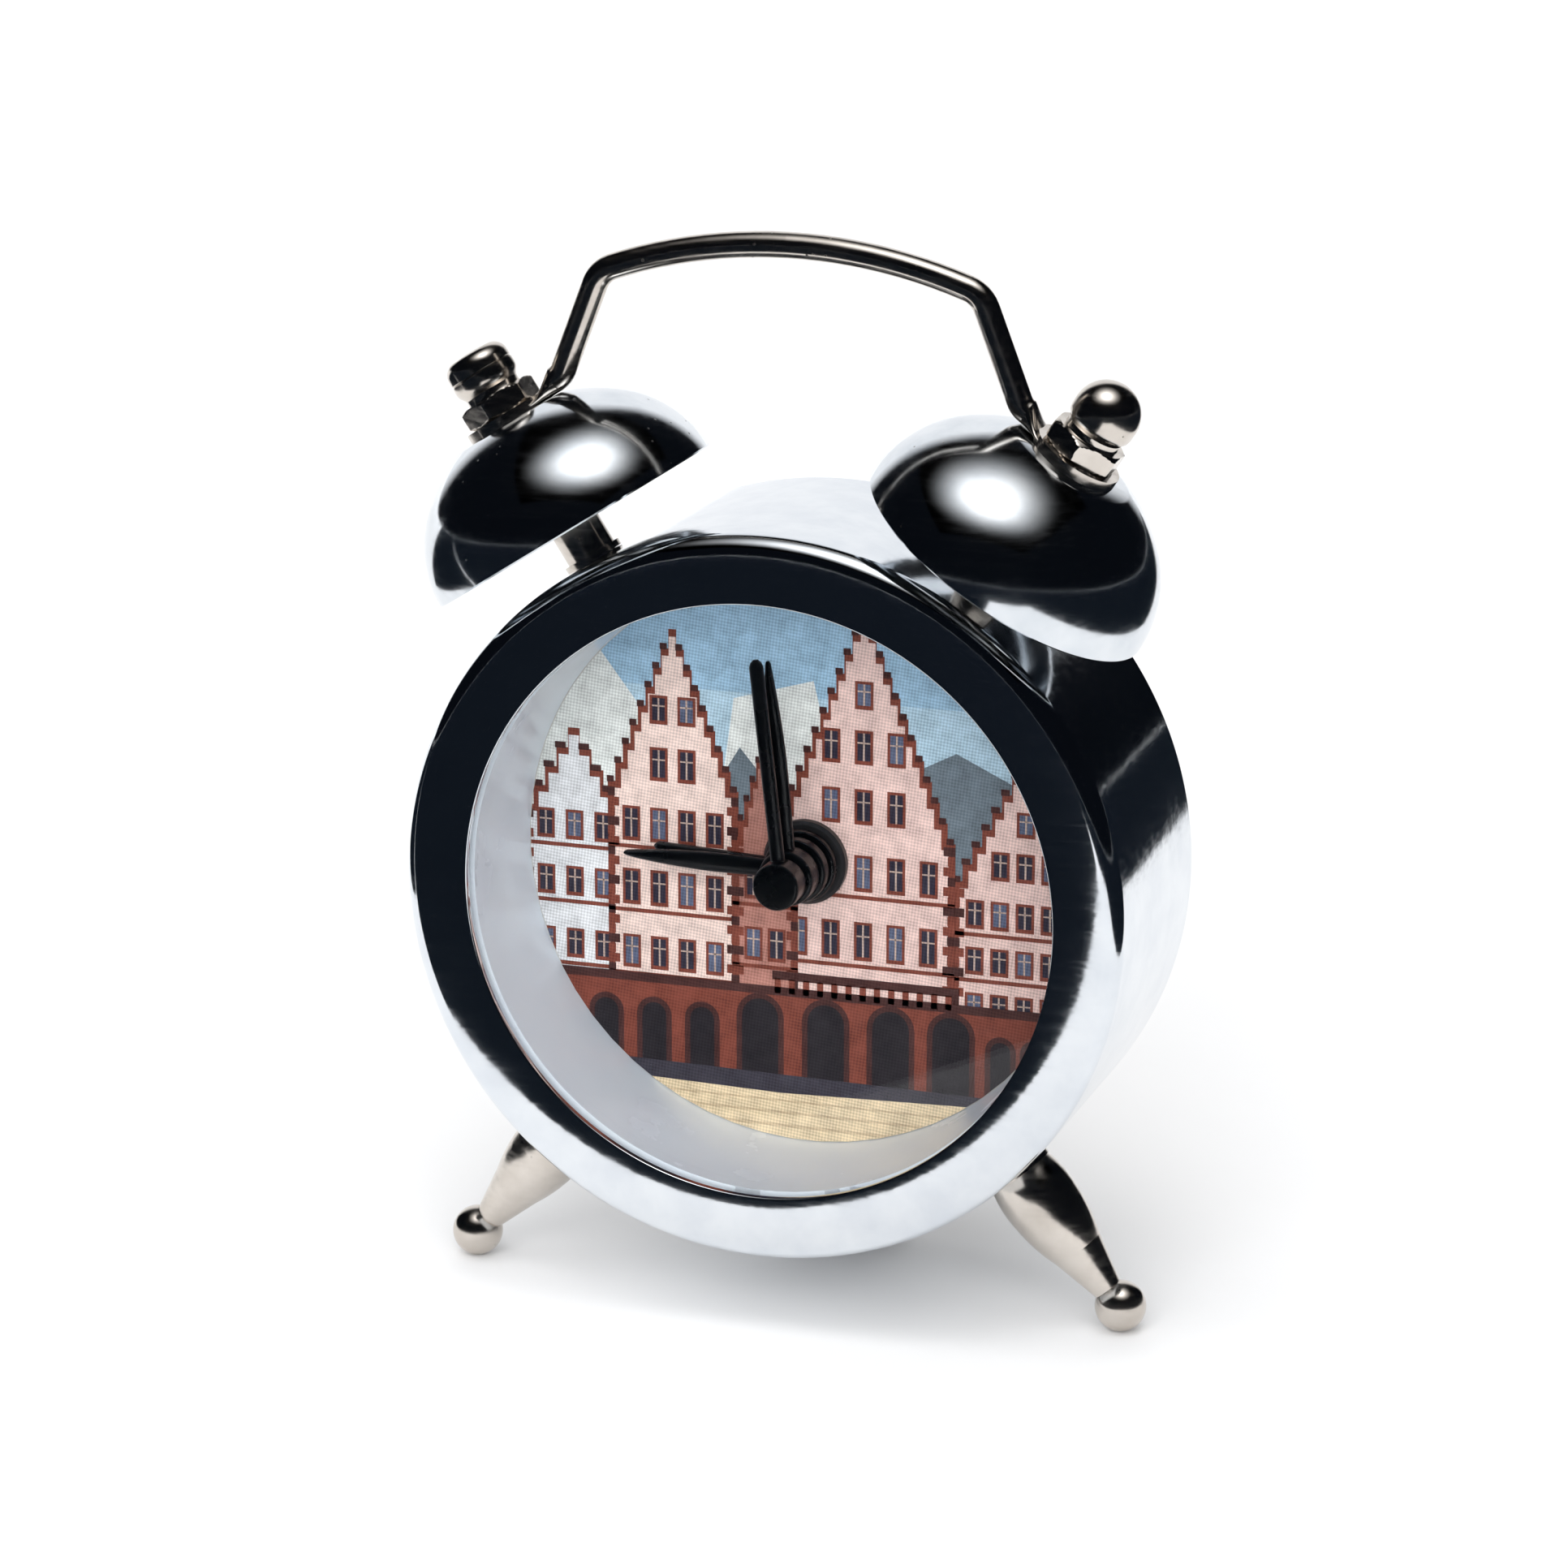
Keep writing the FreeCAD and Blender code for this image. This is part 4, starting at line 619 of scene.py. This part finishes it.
def make_ground_floor(picture, wide):
    """Arcade across the whole row with a balcony, and the paved square before it."""
    street, ceiling = -18.0, -10.6
    picture.box(-wide, street - 1.4, wide, ceiling, "stone", 27)
    picture.box(-wide, ceiling - 0.6, wide, ceiling + 0.1, "dark_stone", 28)
    picture.box(-2.8, ceiling + 0.7, 12.4, ceiling + 1.4, "dark_stone", 28)
    for baluster in range(13):
        left = -2.6 + baluster * 1.16
        picture.box(left, ceiling - 0.4, left + 0.5, ceiling + 0.8, "stone", 28)
    for arch_wide, arch_high, places in ((2.0, 5.2, (-16.6, -12.6, -8.6)),
                                         (3.0, 6.4, (-3.8, 1.6, 6.9, 11.8)),
                                         (1.6, 4.8, (15.8, 18.6))):
        for x in places:
            archway(picture, x, street, arch_wide, arch_high, 29)
    picture.add([(-wide, -17.4), (wide, -18.0), (wide, -19.6), (-wide, -19.0)], "shadow", 32)
    picture.add([(-wide, -18.7), (-2, -19.2), (wide, -18.4), (wide, -wide), (-wide, -wide)],
                "square", 33)
    for index, low in enumerate((-19.9, -20.9, -22.0)):
        picture.box(-wide, low, wide, low + 0.16 + 0.05 * index, "paving", 34)


def make_picture():
    picture = Picture()
    wide = PICTURE_RADIUS * 1.05
    for layer, low, ink in ((1, -wide, "sky_low"), (2, 6.5, "sky_mid"), (3, 13.0, "sky_high")):
        picture.box(-wide, low, wide, wide, ink, layer)
    picture.add([(-24, 9.5), (-17.5, 16.2), (-12, 9), (-12, -12), (-24, -12)], "haze", 4)
    picture.add([(-6, 12.5), (0.5, 14.4), (3, 4), (-8, -2)], "haze", 4)
    picture.add([(8, 7.5), (12, 9.6), (24, 4), (24, -4), (8, -4)], "slate", 4)
    picture.add([(-8, 4.5), (-5.5, 8.6), (-2, 4.5), (-2, -4), (-8, -4)], "slate", 5)
    # middle, half width, eaves, peak, steps, wall, rows of windows (sill, height), columns, layer
    house(picture, -19.2, 4.4, 2.5, 9.0, 4, "pale_wall",
          ((-9.5, 1.9), (-4.4, 1.9), (0.2, 1.9)), 3, 6)
    house(picture, 17.6, 5.8, -0.5, 9.6, 7, "rose_wall",
          ((-11.2, 1.6), (-7.6, 1.7), (-3.9, 1.8), (0.1, 1.8), (3.7, 1.5)), 5, 6)
    house(picture, -11.0, 5.4, 5.0, 17.6, 8, "warm_wall",
          ((-9.8, 2.2), (-4.6, 2.4), (0.6, 2.3), (5.6, 2.2), (10.2, 1.8)), 4, 10)
    house(picture, 4.6, 7.4, 2.4, 20.0, 11, "rose_wall",
          ((-7.4, 2.6), (-1.8, 2.4), (3.6, 2.3), (8.4, 2.2), (12.8, 1.7)), 5, 14)
    house(picture, -3.4, 2.7, 1.2, 9.2, 5, "dusk_wall",
          ((-8.2, 2.2), (-3.2, 2.2), (1.6, 1.9)), 2, 20)
    make_ground_floor(picture, wide)
    picture.build("dial_print")


make_picture()


# ---------------------------------------------------------------- studio

def emission(name, colour, strength):
    material = bpy.data.materials.new(name)
    material.use_nodes = True
    tree = material.node_tree
    tree.nodes.clear()
    output = tree.nodes.new("ShaderNodeOutputMaterial")
    glow = tree.nodes.new("ShaderNodeEmission")
    glow.inputs["Color"].default_value = colour
    glow.inputs["Strength"].default_value = strength
    tree.links.new(glow.outputs[0], output.inputs["Surface"])
    return material, glow


def flat_piece(name, points, height, material):
    mesh = bpy.data.meshes.new(name)
    mesh.from_pydata([(x, y, height) for x, y in points], [], [list(range(len(points)))])
    piece = bpy.data.objects.new(name, mesh)
    bpy.context.collection.objects.link(piece)
    mesh.materials.append(material)
    return piece


def square(half):
    return [(x * half, y * half) for x, y in ((-1, -1), (1, -1), (1, 1), (-1, 1))]


def make_floor():
    material, shader = new_material("floor_white")
    nodes = Nodes(material)
    tone = nodes.spread(nodes.noise(30.0), 0.3, 0.7)
    nodes.feed(shader.inputs["Base Color"], nodes.blend(tone, (0.86, 0.862, 0.868, 1),
                                                        (0.875, 0.876, 0.88, 1)))
    shader.inputs["Roughness"].default_value = 0.9
    shader.inputs["Specular IOR Level"].default_value = 0.1
    flat_piece("floor", square(6.0), 0.0, material)


def seen_only_in_gloss(piece):
    piece.visible_camera = False
    piece.visible_diffuse = False
    piece.visible_shadow = False
    piece.visible_transmission = False
    piece.visible_volume_scatter = False


def make_dark_reflection_sheets():
    """Near-black sheets just above the floor round its white middle, which only polished surfaces
    see: painted dark reflections in the metal, where the camera sees white floor.
    """
    # near-black glow standing in for the dark room mirrored in the chrome: a painted reflection,
    # not a cloth that light or camera meets
    dark_reflection = emission("painted_dark_reflection", (0.007, 0.010, 0.015, 1), 1.0)[0]
    far, just_above_floor = 5.0, 0.3 * MM
    # outlines of the painted dark reflections, in metres
    outlines = {
        "dark_reflection_front_left": [(-far, -0.05), (-0.014, -0.056), (0.008, -0.097), (0.045, -0.26),
                             (0.12, -far), (-far, -far)],
        "dark_reflection_front_right": [(0.045, -0.26), (0.16, -0.2), (0.125, -0.04), (far, 0.4),
                              (far, -far), (0.12, -far)],
        "dark_reflection_back_right": [(0.125, -0.04), (0.085, 0.12), (0.4, far), (far, far), (far, 0.4)],
        "dark_reflection_left": [(-0.115, -0.053), (-0.14, 0.08), (-far, 1.6), (-far, -0.05)],
    }
    for name, points in outlines.items():
        seen_only_in_gloss(flat_piece(name, points, just_above_floor, dark_reflection))


def make_ceiling():
    """Large soft light overhead, bright in the middle and fading at its border."""
    place, half, strength, falloff = (0.12, -0.32, 1.15), 1.1, 4.5, 2.6
    material, glow = emission("soft_light", (1.0, 1.0, 1.0, 1), 1.0)
    nodes = Nodes(material)
    ball = nodes.add("ShaderNodeTexGradient", gradient_type="SPHERICAL")
    nodes.feed(ball.inputs["Vector"], nodes.scaled((0.95, 1.05, 1.0)))
    soft = nodes.math("POWER", ball.outputs["Fac"], falloff)
    nodes.feed(glow.inputs["Strength"], nodes.math("MULTIPLY", soft, strength))
    light = flat_piece("soft_light", square(half), 0.0, material)
    light.location = place
    light.visible_shadow = False
    light.visible_camera = False


def make_world():
    """White to the camera; to the metal a dark room with a bright wall behind on the left."""
    world = bpy.data.worlds.new("room")
    bpy.context.scene.world = world
    world.use_nodes = True
    tree = world.node_tree
    tree.nodes.clear()
    output = tree.nodes.new("ShaderNodeOutputWorld")
    nodes = Nodes(world)
    toward = tree.nodes.new("ShaderNodeVectorMath")
    toward.operation = "DOT_PRODUCT"
    tree.links.new(tree.nodes.new("ShaderNodeTexCoord").outputs["Generated"], toward.inputs[0])
    wall, wall_rise = math.radians(200), 0.25
    toward.inputs[1].default_value = (math.sin(wall), -math.cos(wall), wall_rise)
    bright = nodes.spread(toward.outputs["Value"], 0.83, 0.93, 0.0, 1.0)
    room = nodes.blend(bright, (0.003, 0.004, 0.006, 1), (1.05, 1.06, 1.08, 1))
    path = tree.nodes.new("ShaderNodeLightPath")
    seen = nodes.blend(path.outputs["Is Camera Ray"], room, (1, 1, 1, 1))
    background = tree.nodes.new("ShaderNodeBackground")
    tree.links.new(seen, background.inputs["Color"])
    tree.links.new(background.outputs[0], output.inputs["Surface"])


# direction the light travels in, strength and spread in degrees
FILLS = {
    "fill_above": ((0.1, 0.25, -1.0), 3.0, 80),
    "fill_front": ((-0.25, 1.0, -0.4), 4.1, 65),
    "fill_left": ((0.9, 0.4, -0.5), 0.6, 80),
    "fill_behind": ((0.2, -1.0, -0.6), 0.6, 80),
}


def make_fill(name, toward, strength, spread):
    """Even light from one side that polished metal doesn't mirror."""
    data = bpy.data.lights.new(name, "SUN")
    data.energy = strength
    data.angle = math.radians(spread)
    light = bpy.data.objects.new(name, data)
    bpy.context.collection.objects.link(light)
    light.rotation_euler = Vector(toward).to_track_quat("-Z", "Y").to_euler()
    light.visible_glossy = False
    light.visible_camera = False


def make_camera():
    """A long lens to the right of the dial, looking down a little: place in mm, degrees."""
    place, swing, tilt, roll = (129.289, -394.482, 157.773), 18.338, 74.273, 0.061
    camera = bpy.data.objects.new("camera", bpy.data.cameras.new("camera"))
    bpy.context.collection.objects.link(camera)
    camera.data.lens = 128.58
    camera.data.sensor_width = 36.0
    camera.data.clip_start = 0.01
    camera.matrix_world = (Matrix.Translation(Vector(place) * MM)
                           @ Matrix.Rotation(math.radians(swing), 4, "Z")
                           @ Matrix.Rotation(math.radians(tilt), 4, "X")
                           @ Matrix.Rotation(math.radians(roll), 4, "Z"))
    bpy.context.scene.camera = camera


make_floor()
make_dark_reflection_sheets()
make_ceiling()
make_world()
for fill, settings in FILLS.items():
    make_fill(fill, *settings)
make_camera()
bpy.context.scene.view_settings.view_transform = "Standard"
